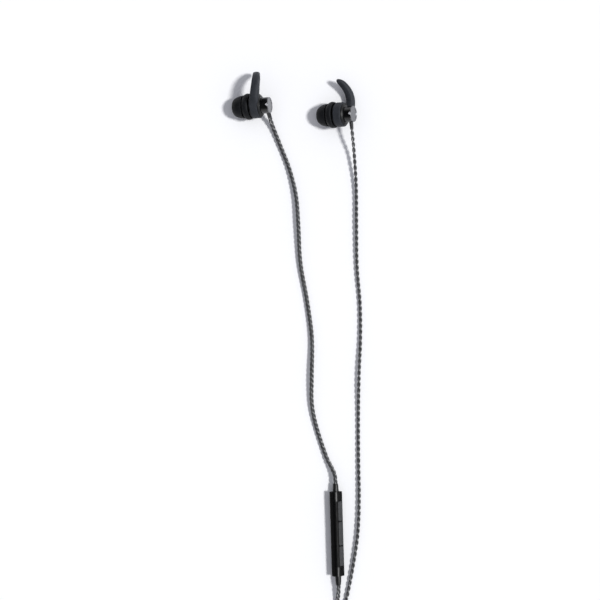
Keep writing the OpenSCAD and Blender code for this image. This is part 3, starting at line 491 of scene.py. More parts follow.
def lint():
    """Sparse specks of dust, each a few hundredths of a millimetre."""
    tree, given = new_group("lint", {"Specks": 1400.0, "Share": 0.12}, ("Speck",))
    place = place_of(tree)
    cell = link_new(tree, "ShaderNodeTexVoronoi", {"Vector": place, "Scale": given["Specks"]})
    near = from_to(tree, cell.outputs["Distance"], *SPECK_EDGES)
    shade = link_new(tree, "ShaderNodeSeparateXYZ", {0: cell.outputs["Color"]}).outputs["X"]
    chosen = math_node(tree, "LESS_THAN", shade, given["Share"])
    put_out(tree, Speck=math_node(tree, "MULTIPLY", near, chosen))
    return tree


MOULDED_SKIN, TURNING_MARKS = moulded_skin(), turning_marks()
RUBBED_EDGES, LINT = rubbed_edges(), lint()
print("groups:", [g.name for g in bpy.data.node_groups])

# %% [markdown]
# ## One way to build a finish
# Every finish below is one Principled shader. Its colour is clouded, then rubbed on the
# edges, then dusted. Its roughness follows the clouds, and its bump comes from the grain or
# from turning marks. What is the same all over is a plain number on the shader.

# %% Helper: build a finish
ROUGH_SWING, WORN_GAIN, WORN_LIFT, LINT_GREY = 0.15, 3, 0.02, 0.3


def use_group(tree, group, **values):
    node = tree.nodes.new("ShaderNodeGroup")
    node.node_tree = group
    for label, value in values.items():
        node.inputs[label.replace("_", " ")].default_value = value
    return node.outputs


def blend_colour(tree, share, a, b):
    return link_new(tree, "ShaderNodeMix", {0: share, 6: a, 7: b}, data_type="RGBA").outputs[2]


def grey(v, blue=0.0):
    return (v, v * (1 + blue / 3), v * (1 + blue), 1)


def finish(name, colour, rough, grain=9000.0, depth=0.006, cloud=0.25, rub=0.0, dust=0.0,
           rings=None, **fixed):
    """A finish with its groups; depth is the bump in mm, and fixed goes on the shader."""
    material = material_of(name)
    material.use_nodes = True
    tree = material.node_tree
    shader = tree.nodes["Principled BSDF"]
    for label, value in fixed.items():
        shader.inputs[label.replace("_", " ")].default_value = value
    skin = use_group(tree, MOULDED_SKIN, Grain=grain)
    dark = tuple(c * (1 - cloud) for c in colour[:3]) + (1,)
    pale = tuple(min(1, c * (1 + cloud)) for c in colour[:3]) + (1,)
    shown = blend_colour(tree, skin["Cloudiness"], dark, pale)
    if rub:
        worn = tuple(min(1, c * WORN_GAIN + WORN_LIFT) for c in colour[:3]) + (1,)
        mask = math_node(tree, "MULTIPLY", use_group(tree, RUBBED_EDGES)["Rub"], rub)
        shown = blend_colour(tree, mask, shown, worn)
    if dust:
        mask = math_node(tree, "MULTIPLY", use_group(tree, LINT)["Speck"], dust)
        shown = blend_colour(tree, mask, shown, grey(LINT_GREY))
    tree.links.new(shown, shader.inputs["Base Color"])
    tree.links.new(from_to(tree, skin["Cloudiness"], 0, 1, rough * (1 - ROUGH_SWING),
                           min(1, rough * (1 + ROUGH_SWING))), shader.inputs["Roughness"])
    height = use_group(tree, TURNING_MARKS, Rings_per_mm=rings)["Height"] if rings \
        else skin["Height"]
    bump = link_new(tree, "ShaderNodeBump", {"Height": height, "Strength": 1.0,
                                             "Distance": depth * MM}).outputs["Normal"]
    tree.links.new(bump, shader.inputs["Normal"])
    return material


print("a finish uses up to", len((MOULDED_SKIN, TURNING_MARKS, RUBBED_EDGES, LINT)), "groups")

# %% [markdown]
# ## The finishes
# Black is not one black. Silicone is a dark satin grey with a little blue, anodised metal is
# nearly black with sharp lights, and the remote's plastic lies between. The caps are bright
# turned aluminium. The values are linear, so 0.01 is already a visible dark grey.

# %% Finishes that show from outside
TIP_SILICONE = finish("tip_silicone", grey(0.0072, 0.3), 0.58, grain=14000.0, depth=0.004,
                      cloud=0.2, dust=0.1, Specular_IOR_Level=0.16)
FIN_SILICONE = finish("fin_silicone", grey(0.029, 0.3), 0.6, grain=14000.0, depth=0.004,
                      cloud=0.15, dust=0.08, Specular_IOR_Level=0.18)
ANODISED = finish("black_anodised", grey(0.0028, 0.2), 0.22, depth=0.002, cloud=0.3,
                  rub=0.3, rings=14.0, Specular_IOR_Level=0.55)
HOUSING = finish("housing_plastic", grey(0.0045, 0.2), 0.42, depth=0.003, rub=0.2,
                 Specular_IOR_Level=0.28)
TURNED_ALUMINIUM = finish("turned_aluminium", (0.2, 0.203, 0.215, 1), 0.26, depth=0.005,
                          cloud=0.06, rings=7.0, Metallic=1.0)
BRIGHT_TAB = finish("bright_tab", (0.8, 0.8, 0.82, 1), 0.35, depth=0.002, cloud=0.04,
                    rub=0.2, Metallic=0.25)
SOFT_RUBBER = finish("soft_rubber", grey(0.009, 0.1), 0.45, grain=7000.0, depth=0.006,
                     rub=0.2, dust=0.12, Specular_IOR_Level=0.3)
BUTTON_RUBBER = finish("button_rubber", grey(0.033, 0.08), 0.5, grain=8000.0, depth=0.006,
                       rub=0.3, dust=0.08, Specular_IOR_Level=0.35)
GOLD_CONTACT = finish("gold_contact", (0.83, 0.58, 0.24, 1), 0.18, depth=0.002, cloud=0.05,
                      rings=16.0, Metallic=1.0)
print("finishes:", [m.name for m in bpy.data.materials if m.use_nodes])

# %% [markdown]
# The remote's shell is a matt black, but the round edge at its two ends, beyond the buttons,
# is still polished as it left the mould. Polish is a clear coat whose weight follows the place
# in the remote's own directions: along it, where it fades in slowly, across its button face
# and out of that face. The place is measured in Object coordinates, as every piece lies at the
# origin unturned.

# %% Finish of the remote's shell
REMOTE_LEAN, REMOTE_ROLL = 1.7, 48
REMOTE_TURN = (Matrix.Scale(MM, 4) @ Matrix.Translation(REMOTE_AT)
               @ Matrix.Rotation(radians(REMOTE_LEAN), 4, "Z")
               @ Matrix.Rotation(radians(180 + REMOTE_ROLL), 4, "Y")
               @ Matrix.Rotation(-pi / 2, 4, "X"))
REMOTE_W, REMOTE_T, REMOTE_EDGE_R = 6.5, 5.3, 1.95
POLISH_FROM, POLISH_FADE, POLISH_EDGE, POLISH = 16.9, 1.0, 0.4, 0.5


def remote_finish():
    material = finish("remote_plastic", grey(0.0012, 0.2), 0.5, depth=0.003, rub=0.2,
                      Specular_IOR_Level=0.09, Coat_Roughness=0.28, Coat_IOR=1.45)
    tree = material.node_tree
    from_middle = math_node(tree, "SUBTRACT", place_of(tree), tuple(vec(*REMOTE_AT) * MM),
                            "ShaderNodeVectorMath")
    across, out, _ = (column.xyz.normalized() for column in REMOTE_TURN.col[:3])
    mask = POLISH
    for way, start, fade in ((Vector(REMOTE_AXIS), POLISH_FROM, POLISH_FADE),
                             (across, REMOTE_W / 2 - REMOTE_EDGE_R, POLISH_EDGE),
                             (out, REMOTE_T / 2 - REMOTE_EDGE_R, POLISH_EDGE)):
        length = link_new(tree, "ShaderNodeVectorMath", {0: from_middle, 1: tuple(way)},
                          operation="DOT_PRODUCT").outputs["Value"]
        if start == POLISH_FROM:
            length = math_node(tree, "ABSOLUTE", length)
        inside = from_to(tree, length, start * MM, (start + fade) * MM, smooth=True)
        mask = math_node(tree, "MULTIPLY", inside, mask)
    tree.links.new(mask, tree.nodes["Principled BSDF"].inputs["Coat Weight"])
    return material


REMOTE_PLASTIC = remote_finish()
print(REMOTE_PLASTIC.name, "polished from", POLISH_FROM, "mm")

# %% [markdown]
# The jacket of a strand is extruded: very fine lines run along it, and its colour changes
# slowly along the cord. The Geometry Nodes tree stored the length along each strand as an
# attribute, so the pattern follows the cord through every bend.

# %% Finish of the cord's jacket
JACKET_GREY, JACKET_ROUGH = 0.04, 0.36
PALE_SCALE, PALE_EDGES, PALE_SHARE, PALE_GAIN = 110.0, (0.35, 0.75), 0.45, 1.9


def jacket_finish():
    material = finish("cord_jacket", grey(JACKET_GREY, 0.12), JACKET_ROUGH, grain=11000.0,
                      depth=0.004, cloud=0.3, dust=0.06, Specular_IOR_Level=0.8, IOR=1.6)
    tree = material.node_tree
    shader = tree.nodes["Principled BSDF"]
    along = link_new(tree, "ShaderNodeAttribute", attribute_name="along").outputs["Fac"]
    slow = link_new(tree, "ShaderNodeTexNoise",
                    {"W": along, "Scale": PALE_SCALE, "Detail": 3.0},
                    noise_dimensions="1D").outputs["Fac"]
    shown = shader.inputs["Base Color"].links[0].from_socket
    pale = blend_colour(tree, from_to(tree, slow, *PALE_EDGES, 0, PALE_SHARE), shown,
                        grey(JACKET_GREY * PALE_GAIN, 0.1))
    tree.links.new(pale, shader.inputs["Base Color"])
    return material


CORD_JACKET = jacket_finish()
print(CORD_JACKET.name, "ready")

# %% [markdown]
# Inside, nothing shows unless the set is taken apart, but each piece still has its real
# finish: plated steel, enamelled copper wire, a thin film, green solder mask and grey
# moulded plastic.

# %% Finishes inside
PLATED_STEEL = finish("plated_steel", (0.5, 0.5, 0.52, 1), 0.28, depth=0.002, cloud=0.1,
                      Metallic=1.0)
COPPER_WIRE = finish("copper_wire", (0.62, 0.27, 0.12, 1), 0.35, grain=4000.0, depth=0.01,
                     cloud=0.15, Metallic=1.0)
THIN_FILM = finish("thin_film", grey(0.6), 0.3, grain=3000.0, depth=0.003, cloud=0.1)
DARK_PLASTIC = finish("dark_plastic", grey(0.012), 0.45, depth=0.005, rub=0.2)
SOLDER_MASK = finish("solder_mask", (0.008, 0.06, 0.02, 1), 0.35, grain=2600.0, depth=0.006,
                     cloud=0.35)

NODE_FINISH = {
    "driver_frame": DARK_PLASTIC, "driver_yoke": PLATED_STEEL, "driver_magnet": PLATED_STEEL,
    "voice_coil": COPPER_WIRE, "diaphragm": THIN_FILM, "driver_board": SOLDER_MASK,
    "remote_board": SOLDER_MASK, "dome_switches": PLATED_STEEL, "microphone": PLATED_STEEL,
    "plug_bands": DARK_PLASTIC,
}
for name, node in frame["nodes"].items():
    kind = name.removeprefix("left_").removeprefix("right_")
    if kind in NODE_FINISH:
        node.material_slots[0].material = NODE_FINISH[kind]
print(sum(s.material in NODE_FINISH.values() for n in frame["nodes"].values()
          for s in n.material_slots), "CAD nodes finished")

# %% [markdown]
# ## Turned pieces
# Barrels, caps, housings, ear tips and reliefs are round about one axis, so each is an
# outline spun on a lathe. An outline is a short list of [radius, station] points, and a
# third number rounds that corner. Extra points just outside each rounding keep the flat
# stretches flat when the shading is smoothed.

# %% Helpers: rounded outline and arc
MOST_CUT, SUPPORT, MOST_SUPPORT = 0.45, 1.3, 0.48


def rounded(points, closed=True, steps=4):
    """The outline with each corner that has a third number rounded by that radius."""
    line = []
    for i, point in enumerate(points):
        here = vec(*point[:2])
        at_end = not closed and i in (0, len(points) - 1)
        if len(point) < 3 or at_end:
            line.append(here)
            continue
        back = vec(*points[i - 1][:2]) - here
        ahead = vec(*points[(i + 1) % len(points)][:2]) - here
        reach = min(np.linalg.norm(back), np.linalg.norm(ahead))
        a, b = unit(back), unit(ahead)
        half = np.arccos(np.clip(a @ b, -1, 1)) / 2
        cut = min(point[2] / np.tan(half), MOST_CUT * reach)
        middle = here + unit(a + b) * cut / np.cos(half)
        swing = pi - 2 * half
        support = min(SUPPORT * cut, MOST_SUPPORT * reach)
        line.append(here + a * support)
        for k in range(steps + 1):
            t = k / steps
            line.append(middle + (sin((1 - t) * swing) * (here + a * cut - middle)
                                  + sin(t * swing) * (here + b * cut - middle)) / sin(swing))
        line.append(here + b * support)
    return line


def arc(r0, r1, z0, z1, start, end, steps=12):
    """Points of an elliptic arc about [r0, z0], through [r1, z0] at 0 and [r0, z1] at 90."""
    angles = [radians(start + (end - start) * k / steps) for k in range(steps + 1)]
    return [(r0 + (r1 - r0) * cos(a), z0 + (z1 - z0) * sin(a)) for a in angles]


print("a rounded corner has", len(rounded([(0, 0), (1, 0, 0.1), (1, 1)], False)) - 2, "points")

# %% [markdown]
# The lathe makes one row of points for each point of the outline, and a single point where the
# outline meets the axis, so the poles are closed. Its UV map keeps the share of the turn and
# the length along the outline, which the turning marks follow.

# %% Helpers: lathe, outward faces and smooth shading
ON_AXIS = 1e-6


def lathe(name, line, turn, material, steps=96):
    """The solid that line makes when it is spun; one that starts on the axis ends on it."""
    mesh = bpy.data.meshes.new(name)
    open_line = line[0][0] < ON_AXIS
    verts, rows = [], []
    for r, z in line:
        if r < ON_AXIS:
            rows.append([len(verts)] * (steps + 1))
            verts.append((0, 0, z))
        else:
            rows.append([len(verts) + k % steps for k in range(steps + 1)])
            verts.extend((r * cos(2 * pi * k / steps), r * sin(2 * pi * k / steps), z)
                         for k in range(steps))
    faces, places, run = [], [], 0.0
    for i in range(len(line) - open_line):
        j = (i + 1) % len(line)
        end = run + float(np.linalg.norm(vec(*line[j]) - vec(*line[i])))
        for k in range(steps):
            corners = ((rows[i][k], k, run), (rows[i][k + 1], k + 1, run),
                       (rows[j][k + 1], k + 1, end), (rows[j][k], k, end))
            kept = {c[0]: c for c in corners}
            faces.append(list(kept))
            places.extend((c[1] / steps, c[2]) for c in kept.values())
        run = end
    mesh.from_pydata(verts, [], faces)
    layer = mesh.uv_layers.new(name="turned")
    layer.data.foreach_set("uv", np.array(places).ravel())
    face_out(mesh)
    mesh.transform(turn)
    return shown_piece(name, mesh, material)


def face_out(mesh):
    """Turn all faces of a closed mesh outwards."""
    form = bmesh.new()
    form.from_mesh(mesh)
    bmesh.ops.recalc_face_normals(form, faces=form.faces)
    form.to_mesh(mesh)
    form.free()


def shown_piece(name, mesh, material, sharp=40):
    """An object of mesh with its finish, smooth but for edges sharper than sharp degrees."""
    mesh.materials.clear()
    mesh.materials.append(material)
    mesh.shade_smooth()
    mesh.set_sharp_from_angle(angle=radians(sharp))
    return add_object(name, mesh)


print("a turned outline that starts nearer than", ON_AXIS, "mm to the axis is closed there")

# %% [markdown]
# Every finished piece takes the place of one or more CAD nodes. It rides on their body, so it
# moves as they do.

# %% Helper: let a piece stand for its CAD nodes
BODY_OF = {node: body for body, nodes in frame["record"]["behaviour"]["bodies"].items()
           for node in nodes}


def dress(piece, slot, *nodes):
    """Let piece stand for its CAD nodes and ride on their body; slot is not used."""
    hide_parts(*nodes)
    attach(piece, BODY_OF[nodes[0]])
    return piece


print(len(BODY_OF), "nodes have a body")

# %% [markdown]
# ## Ear tips
# Each tip is one piece of thin silicone: a front dome and a rear flange on a common stem,
# both open towards the ear fin. It is all arcs about one axis, so it is one outline.

# %% Ear tips
NOSE_Z, DOME_R, DOME_RIM_Z, DUCT_R, NOSE_R = 20.3, 5.95, 14.5, 2.0, 2.6
FLANGE_R, FLANGE_RIM_R, FLANGE_RIM_Z, FLANGE_WIDE_Z, FLANGE_ROOT_Z = 6.9, 6.4, 10.6, 11.95, 14.55
STEM_R, STEM_BORE_R, STEM_Z, STEM_SEAT_Z, SKIN = 3.6, 3.0, 12.1, 17.6, 0.55


def ear_tip_line():
    outer_dome = arc(NOSE_R, DOME_R, DOME_RIM_Z, NOSE_Z, 90, 4, 20)
    inner_dome = arc(STEM_R, DOME_R - SKIN, DOME_RIM_Z, NOSE_Z - 1.5 * SKIN, 5, 90)
    outer_flange = arc(STEM_R, FLANGE_R, FLANGE_WIDE_Z, FLANGE_ROOT_Z, 90, 0, 16)
    outer_lip = arc(FLANGE_RIM_R, FLANGE_R, FLANGE_WIDE_Z, FLANGE_RIM_Z, 9, 90)
    inner_lip = arc(FLANGE_RIM_R - SKIN, FLANGE_R - SKIN, FLANGE_WIDE_Z, FLANGE_RIM_Z, 90, 0)
    inner_flange = arc(STEM_R, FLANGE_R - SKIN, FLANGE_WIDE_Z, FLANGE_ROOT_Z - 1.2 * SKIN, 9, 90)
    return rounded([
        (STEM_BORE_R, STEM_Z, 0.2), (STEM_BORE_R, STEM_SEAT_Z, 0.1),
        (DUCT_R, STEM_SEAT_Z + 0.8, 0.3), (DUCT_R, NOSE_Z, 0.28), *outer_dome,
        (DOME_R, DOME_RIM_Z, 0.26), (DOME_R - SKIN, DOME_RIM_Z, 0.2), *inner_dome,
        *outer_flange, *outer_lip, *inner_lip, *inner_flange, (STEM_R, STEM_Z, 0.2)])


for side, turn in EAR_TURN.items():
    tip = lathe(side + "_tip_silicone", ear_tip_line(), turn, TIP_SILICONE)
    dress(tip, "silicone", side + "_ear_tip")
    print(tip.name, len(tip.data.polygons), "faces")

# %% [markdown]
# ## Ear fins
# A fin is moulded in one shot: a ring and a curved blade that flow into each other. The blade
# follows a Bezier curve and is widest at its root; its section is an ellipse with a fuller
# corner. The same formula made the CAD solid. Here the steps are finer, and the numbers differ
# by a few tenths of a millimetre, as the smoothing takes off about that much. Near the
# housing and the ear tip the blade is no thicker than the ring, and fine steps keep that
# passage smooth.

# %% Curve and section of a fin's blade
FIN_RING_Z, FIN_RING_W, FIN_RING_R, FIN_BORE_R, FLANGE_CLEAR_R = 5.4, 4.1, 6.4, 5.25, 6.9
FIN_REACH, FIN_RISE, FIN_HOOK, FIN_LEAN, FIN_TIP_LIFT = 18.5, 9.9, 2.5, 2.9, 2.1
FIN_ROOT_ANGLE, FIN_SWELL_X, FIN_CREST_BACK, FIN_CREST_SHARE = 105, 8.6, 4.3, 0.61
FIN_ROOT_W, FIN_TIP_W, FIN_T, FIN_ROOT_EXTRA, FIN_TAPER, FIN_SQUARE = 4.8, 2.1, 4, 1.4, 3, 0.72
FIN_ROUND_FROM, FIN_ROUND_STATIONS, FIN_START, FIN_START_SHARE = 0.89, 40, 0.2, 0.3
FIN_STATIONS, FIN_SIDES, FIN_VOXEL, FIN_SMOOTHING = 240, 120, 0.14, 12
FIN_LAST_ANGLE, FIN_ROOM, FIN_ROOM_FADE, FIN_RING_EDGE = 84, 2, 0.8, 0.4

fin_root_r, fin_root_z = (FIN_BORE_R + FIN_RING_R) / 2, FIN_RING_Z + FIN_RING_W / 2
fin_curve = [
    vec(fin_root_r * cos(radians(FIN_ROOT_ANGLE)), fin_root_r * sin(radians(FIN_ROOT_ANGLE)),
        fin_root_z),
    vec(FIN_SWELL_X, FIN_RISE, fin_root_z - FIN_LEAN),
    vec(FIN_REACH - FIN_CREST_BACK, FIN_CREST_SHARE * FIN_RISE, fin_root_z - FIN_LEAN),
    vec(FIN_REACH, -FIN_HOOK, fin_root_z + FIN_TIP_LIFT)]


def bezier(p, t):
    """Point and direction of the curve at t."""
    u = 1 - t
    at = u**3 * p[0] + 3 * t * u**2 * p[1] + 3 * t**2 * u * p[2] + t**3 * p[3]
    way = u**2 * (p[1] - p[0]) + 2 * t * u * (p[2] - p[1]) + t**2 * (p[3] - p[2])
    return at, unit(way)


def bulge(u):
    return copysign(abs(u)**FIN_SQUARE, u)


def fin_station(s):
    straight = FIN_STATIONS - FIN_ROUND_STATIONS
    if s < straight:
        return FIN_ROUND_FROM * s / straight
    end = (s - straight) / FIN_ROUND_STATIONS
    return FIN_ROUND_FROM + (1 - FIN_ROUND_FROM) * sin(radians(FIN_LAST_ANGLE * end))


def between_flanges(x, y, z):
    """The point, kept within the ring's width where the housing and the ear tip are near."""
    room = FIN_ROOM * ease((sqrt(x * x + y * y) - FLANGE_CLEAR_R) / FIN_ROOM_FADE)
    return (x, y, min(max(z, FIN_RING_Z - room), FIN_RING_Z + FIN_RING_W + room))


blade_line = np.array([bezier(fin_curve, fin_station(s))[0] for s in range(FIN_STATIONS + 1)])
print("a blade is", round(run_length(blade_line), 1), "mm long")

# %% [markdown]
# The blade's skin is a row of sections along the curve, each a ring of points. At the start
# the sections grow out of the ear ring, and at the end they shrink to a round tip.

# %% Skin of a fin's blade


def blade_mesh(name, side, bend):
    """The blade; bend moves the last two points of its curve, as soft silicone gives."""
    curve = fin_curve[:2] + [at + vec(*move) for at, move in zip(fin_curve[2:], bend)]
    verts = []
    for s in range(FIN_STATIONS + 1):
        t = fin_station(s)
        at, way = bezier(curve, t)
        outward = unit(vec(-way[1], way[0], 0))
        end = sqrt(1 - max(0, (t - FIN_ROUND_FROM) / (1 - FIN_ROUND_FROM))**2)
        start = 1 if t > FIN_START else (
            FIN_START_SHARE + (1 - FIN_START_SHARE) * sin(pi / 2 * t / FIN_START))
        band = (FIN_TIP_W + (FIN_ROOT_W - FIN_TIP_W) * (1 - t**FIN_TAPER)) * end * start
        thick = (FIN_T + FIN_ROOT_EXTRA * (1 - t)**2) * end
        for k in range(FIN_SIDES):
            a = 2 * pi * k / FIN_SIDES
            x, y, z = (at + outward * bulge(cos(a)) * band / 2
                       + vec(0, 0, bulge(sin(a)) * thick / 2))
            verts.append(between_flanges(-x, side * y, z))
    faces = [[s * FIN_SIDES + k, s * FIN_SIDES + (k + 1) % FIN_SIDES,
              (s + 1) * FIN_SIDES + (k + 1) % FIN_SIDES, (s + 1) * FIN_SIDES + k]
             for s in range(FIN_STATIONS) for k in range(FIN_SIDES)]
    faces += [list(range(FIN_SIDES)),
              [FIN_STATIONS * FIN_SIDES + k for k in range(FIN_SIDES)]]
    mesh = bpy.data.meshes.new(name)
    mesh.from_pydata(verts, [], faces)
    face_out(mesh)
    return mesh


print("its skin has", FIN_STATIONS * FIN_SIDES, "faces before it is joined")

# %% [markdown]
# Two helpers are used for the fins and again below: one puts what the modifiers make in the
# mesh, and one joins pieces that are really one.

# %% Helpers: finished mesh and joined pieces


def finished_mesh(piece):
    """Put the result of a piece's modifiers in its mesh, and take the modifiers off."""
    made = bpy.data.meshes.new_from_object(
        piece.evaluated_get(bpy.context.evaluated_depsgraph_get()))
    piece.modifiers.clear()
    piece.data, old = made, piece.data
    bpy.data.meshes.remove(old)
    return piece


def joined(piece, *others):
    """One piece of several, with the first one's name and edges and each one's finish."""
    form = bmesh.new()
    for other in (piece, *others):
        own = other.data.materials[0]
        if own.name not in piece.data.materials:
            piece.data.materials.append(own)
        other.data.polygons.foreach_set(
            "material_index",
            [piece.data.materials.find(own.name)] * len(other.data.polygons))
        form.from_mesh(other.data)
    form.to_mesh(piece.data)
    form.free()
    for other in others:
        bpy.data.objects.remove(other)
    return piece


# %% [markdown]
# A voxel remesh of ring and blade makes one even skin, and smoothing rounds the seam as a
# mould does. It also pulls the bore inwards, so the bore is pushed back to its own radius at
# the end.

# %% Ear fins


def soft_fin(name, ear, turn):
    ring_line = rounded([
        (FIN_BORE_R, FIN_RING_Z), (FIN_RING_R, FIN_RING_Z, FIN_RING_EDGE),
        (FIN_RING_R, FIN_RING_Z + FIN_RING_W, FIN_RING_EDGE),
        (FIN_BORE_R, FIN_RING_Z + FIN_RING_W)])
    fin = lathe(name, ring_line, Matrix.Identity(4), FIN_SILICONE)
    blade = blade_mesh(name + "_blade", ear["side"], ear["bend"])
    blade.transform(Matrix.Rotation(radians(ear["fin_turn"]), 4, "Z"))
    joined(fin, shown_piece(name + "_blade", blade, FIN_SILICONE))
    remesh = fin.modifiers.new("skin", "REMESH")
    remesh.mode, remesh.voxel_size, remesh.use_smooth_shade = "VOXEL", FIN_VOXEL, True
    soften = fin.modifiers.new("soften", "SMOOTH")
    soften.factor, soften.iterations = 0.5, FIN_SMOOTHING
    finished_mesh(fin)
    for vertex in fin.data.vertices:
        r = sqrt(vertex.co.x**2 + vertex.co.y**2)
        if r < FIN_BORE_R:
            vertex.co.x, vertex.co.y = (v * FIN_BORE_R / r for v in vertex.co.xy)
    fin.data.transform(turn)
    return fin


for side, ear in EARS.items():
    fin = dress(soft_fin(side + "_fin_silicone", ear, EAR_TURN[side]), "silicone",
                side + "_ear_fin")
    print(fin.name, len(fin.data.polygons), "faces")

# %% [markdown]
# ## Housing, barrel and end cap
# The plastic housing carries the nozzle, a groove for the fin's ring and the collar behind
# it. The anodised barrel plugs into it, and a turned cap closes the barrel. The cap has a
# plain shallow dish and a small pointed tab that lies in a notch of the barrel.

# %% Turned rigid pieces of an earpiece
BARREL_R, BORE_R, CAP_T, DISH, RIM_W = 4.2, 3.6, 0.5, 0.15, 0.75
COLLAR_Z, GROOVE_Z, BEAD_Z, CONE_Z, SHOULDER_Z, NOZZLE_Z = 4.3, 5.3, 9.6, 10.2, 12.0, 17.4
COLLAR_R, GROOVE_R, BEAD_R, SHOULDER_R, NOZZLE_R, LIP_R = 5.7, 5.2, 5.55, 4.0, 2.6, 2.95
GAUZE_SEAT_R, NOZZLE_BORE_R, CHAMBER_R, CAP_SPIGOT = 2.35, 1.9, 4.3, 0.25
SOCKET_R, SOCKET_Z, FIT = 4.65, 5.45, 0.05

housing_line = rounded([
    (SOCKET_R, COLLAR_Z), (SOCKET_R + 0.25, COLLAR_Z, 0.1), (COLLAR_R, GROOVE_Z - 0.3, 0.15),
    (COLLAR_R, GROOVE_Z, 0.1), (GROOVE_R, GROOVE_Z), (GROOVE_R, BEAD_Z), (BEAD_R, BEAD_Z, 0.1),
    (BEAD_R, CONE_Z, 0.2), (4.9, 11.1), (SHOULDER_R, SHOULDER_Z, 0.15),
    (NOZZLE_R, SHOULDER_Z, 0.1), (NOZZLE_R, NOZZLE_Z - 0.8, 0.1),
    (LIP_R, NOZZLE_Z - 0.65, 0.1), (LIP_R, NOZZLE_Z - 0.3, 0.1), (LIP_R - 0.3, NOZZLE_Z, 0.08),
    (GAUZE_SEAT_R, NOZZLE_Z), (GAUZE_SEAT_R, NOZZLE_Z - 0.2), (NOZZLE_BORE_R, NOZZLE_Z - 0.2),
    (NOZZLE_BORE_R, SHOULDER_Z - 1), (CHAMBER_R, BEAD_Z - 0.4), (CHAMBER_R, SOCKET_Z),
    (SOCKET_R, SOCKET_Z)])
barrel_line = rounded([
    (BORE_R, CAP_T), (BARREL_R, CAP_T, 0.06), (BARREL_R, COLLAR_Z + FIT, 0.05),
    (SOCKET_R - FIT, COLLAR_Z + FIT, 0.05), (SOCKET_R - FIT, SOCKET_Z), (BORE_R, SOCKET_Z)])
cap_line = rounded([
    (0, DISH), (BARREL_R - RIM_W - 0.15, DISH, 0.08), (BARREL_R - RIM_W, 0, 0.06),
    (BARREL_R, 0, 0.16), (BARREL_R, CAP_T, 0.05), (BORE_R - FIT, CAP_T),
    (BORE_R - FIT, CAP_T + CAP_SPIGOT), (BORE_R - 0.5, CAP_T + CAP_SPIGOT),
    (BORE_R - 0.5, CAP_T),
    (0, CAP_T)], closed=False)

for side, turn in EAR_TURN.items():
    dress(lathe(side + "_housing", housing_line, turn, HOUSING), "gloss_shell",
          side + "_front_shell")
    dress(lathe(side + "_barrel_sleeve", barrel_line, turn, ANODISED), "black_metal",
          side + "_barrel")
print("outlines:", len(housing_line), len(barrel_line), len(cap_line), "points")

# %% [markdown]
# The tab isn't round about the axis, so it is a small grid of points bent onto the barrel:
# rows run from the cap to the point, and each row is as wide as the tab is there. A second
# grid lies under it, in the notch, and a border joins the two. Then it is joined to the cap.

# %% End cap with its pointed tab
TAB_LEN, TAB_W, TAB_PROUD, TAB_DEPTH, TAB_ROWS, TAB_COLUMNS = 0.9, 1.7, 0.05, 0.3, 9, 8
TAB_POINT, TAB_UNDER_CAP = 0.03, 0.1


def grid_faces(rows, columns, start, turned):
    faces = []
    for i in range(rows - 1):
        for j in range(columns - 1):
            a = start + i * columns + j
            quad = [a, a + 1, a + columns + 1, a + columns]
            faces.append(quad[::-1] if turned else quad)
    return faces


def tab_mesh(name):
    verts = []
    for r, crown in ((BARREL_R, TAB_PROUD), (BARREL_R - TAB_DEPTH, 0)):
        for i in range(TAB_ROWS):
            t = i / (TAB_ROWS - 1)
            half = TAB_W / 2 * (1 - t) + TAB_POINT
            for j in range(TAB_COLUMNS):
                u = 2 * j / (TAB_COLUMNS - 1) - 1
                rise = crown * sqrt(max(0, 1 - u**6)) * sqrt(max(0, 1 - t**8))
                a = u * half / BARREL_R
                verts.append(((r + rise) * sin(a), (r + rise) * cos(a),
                              CAP_T - TAB_UNDER_CAP + t * (TAB_LEN + TAB_UNDER_CAP)))
    size = TAB_ROWS * TAB_COLUMNS
    rim = (list(range(TAB_COLUMNS))
           + [i * TAB_COLUMNS + TAB_COLUMNS - 1 for i in range(1, TAB_ROWS)]
           + [size - 1 - j for j in range(1, TAB_COLUMNS)]
           + [i * TAB_COLUMNS for i in range(TAB_ROWS - 2, 0, -1)])
    border = [[a, b, b + size, a + size] for a, b in zip(rim, rim[1:] + rim[:1])]
    mesh = bpy.data.meshes.new(name)
    mesh.from_pydata(verts, [], grid_faces(TAB_ROWS, TAB_COLUMNS, 0, False)
                     + grid_faces(TAB_ROWS, TAB_COLUMNS, size, True) + border)
    face_out(mesh)
    return mesh


for side, turn in EAR_TURN.items():
    cap = lathe(side + "_cap", cap_line, turn, TURNED_ALUMINIUM)
    tab = tab_mesh(side + "_cap_tab")
    tab.uv_layers.new(name="turned")
    tab.transform(turn)
    joined(cap, shown_piece(side + "_tab", tab, BRIGHT_TAB))
    dress(cap, "bright_metal", side + "_end_cap")
    print(cap.name, len(cap.data.polygons), "faces")

# %% [markdown]
# ## Strain reliefs of the earpieces
# A soft rubber sleeve carries each cord out through the barrel's wall, square to the
# earpiece's axis. It tapers, so that the cord bends over a length and not at one point. The
# right cord has one strand less, so its sleeve is thinner.

# %% Strain reliefs of the earpieces
RELIEF_Z, RELIEF_INNER, RELIEF_START, RELIEF_LEN = 2, 2.3, BARREL_R + FIT, 3.3
RELIEF_HOLD_R = 1.15
relief_end = RELIEF_START + RELIEF_LEN
RELIEF_RUBBER = finish("relief_rubber", grey(0.022, 0.15), 0.42, grain=7000.0, depth=0.006,
                       rub=0.2, dust=0.1, Specular_IOR_Level=0.4)


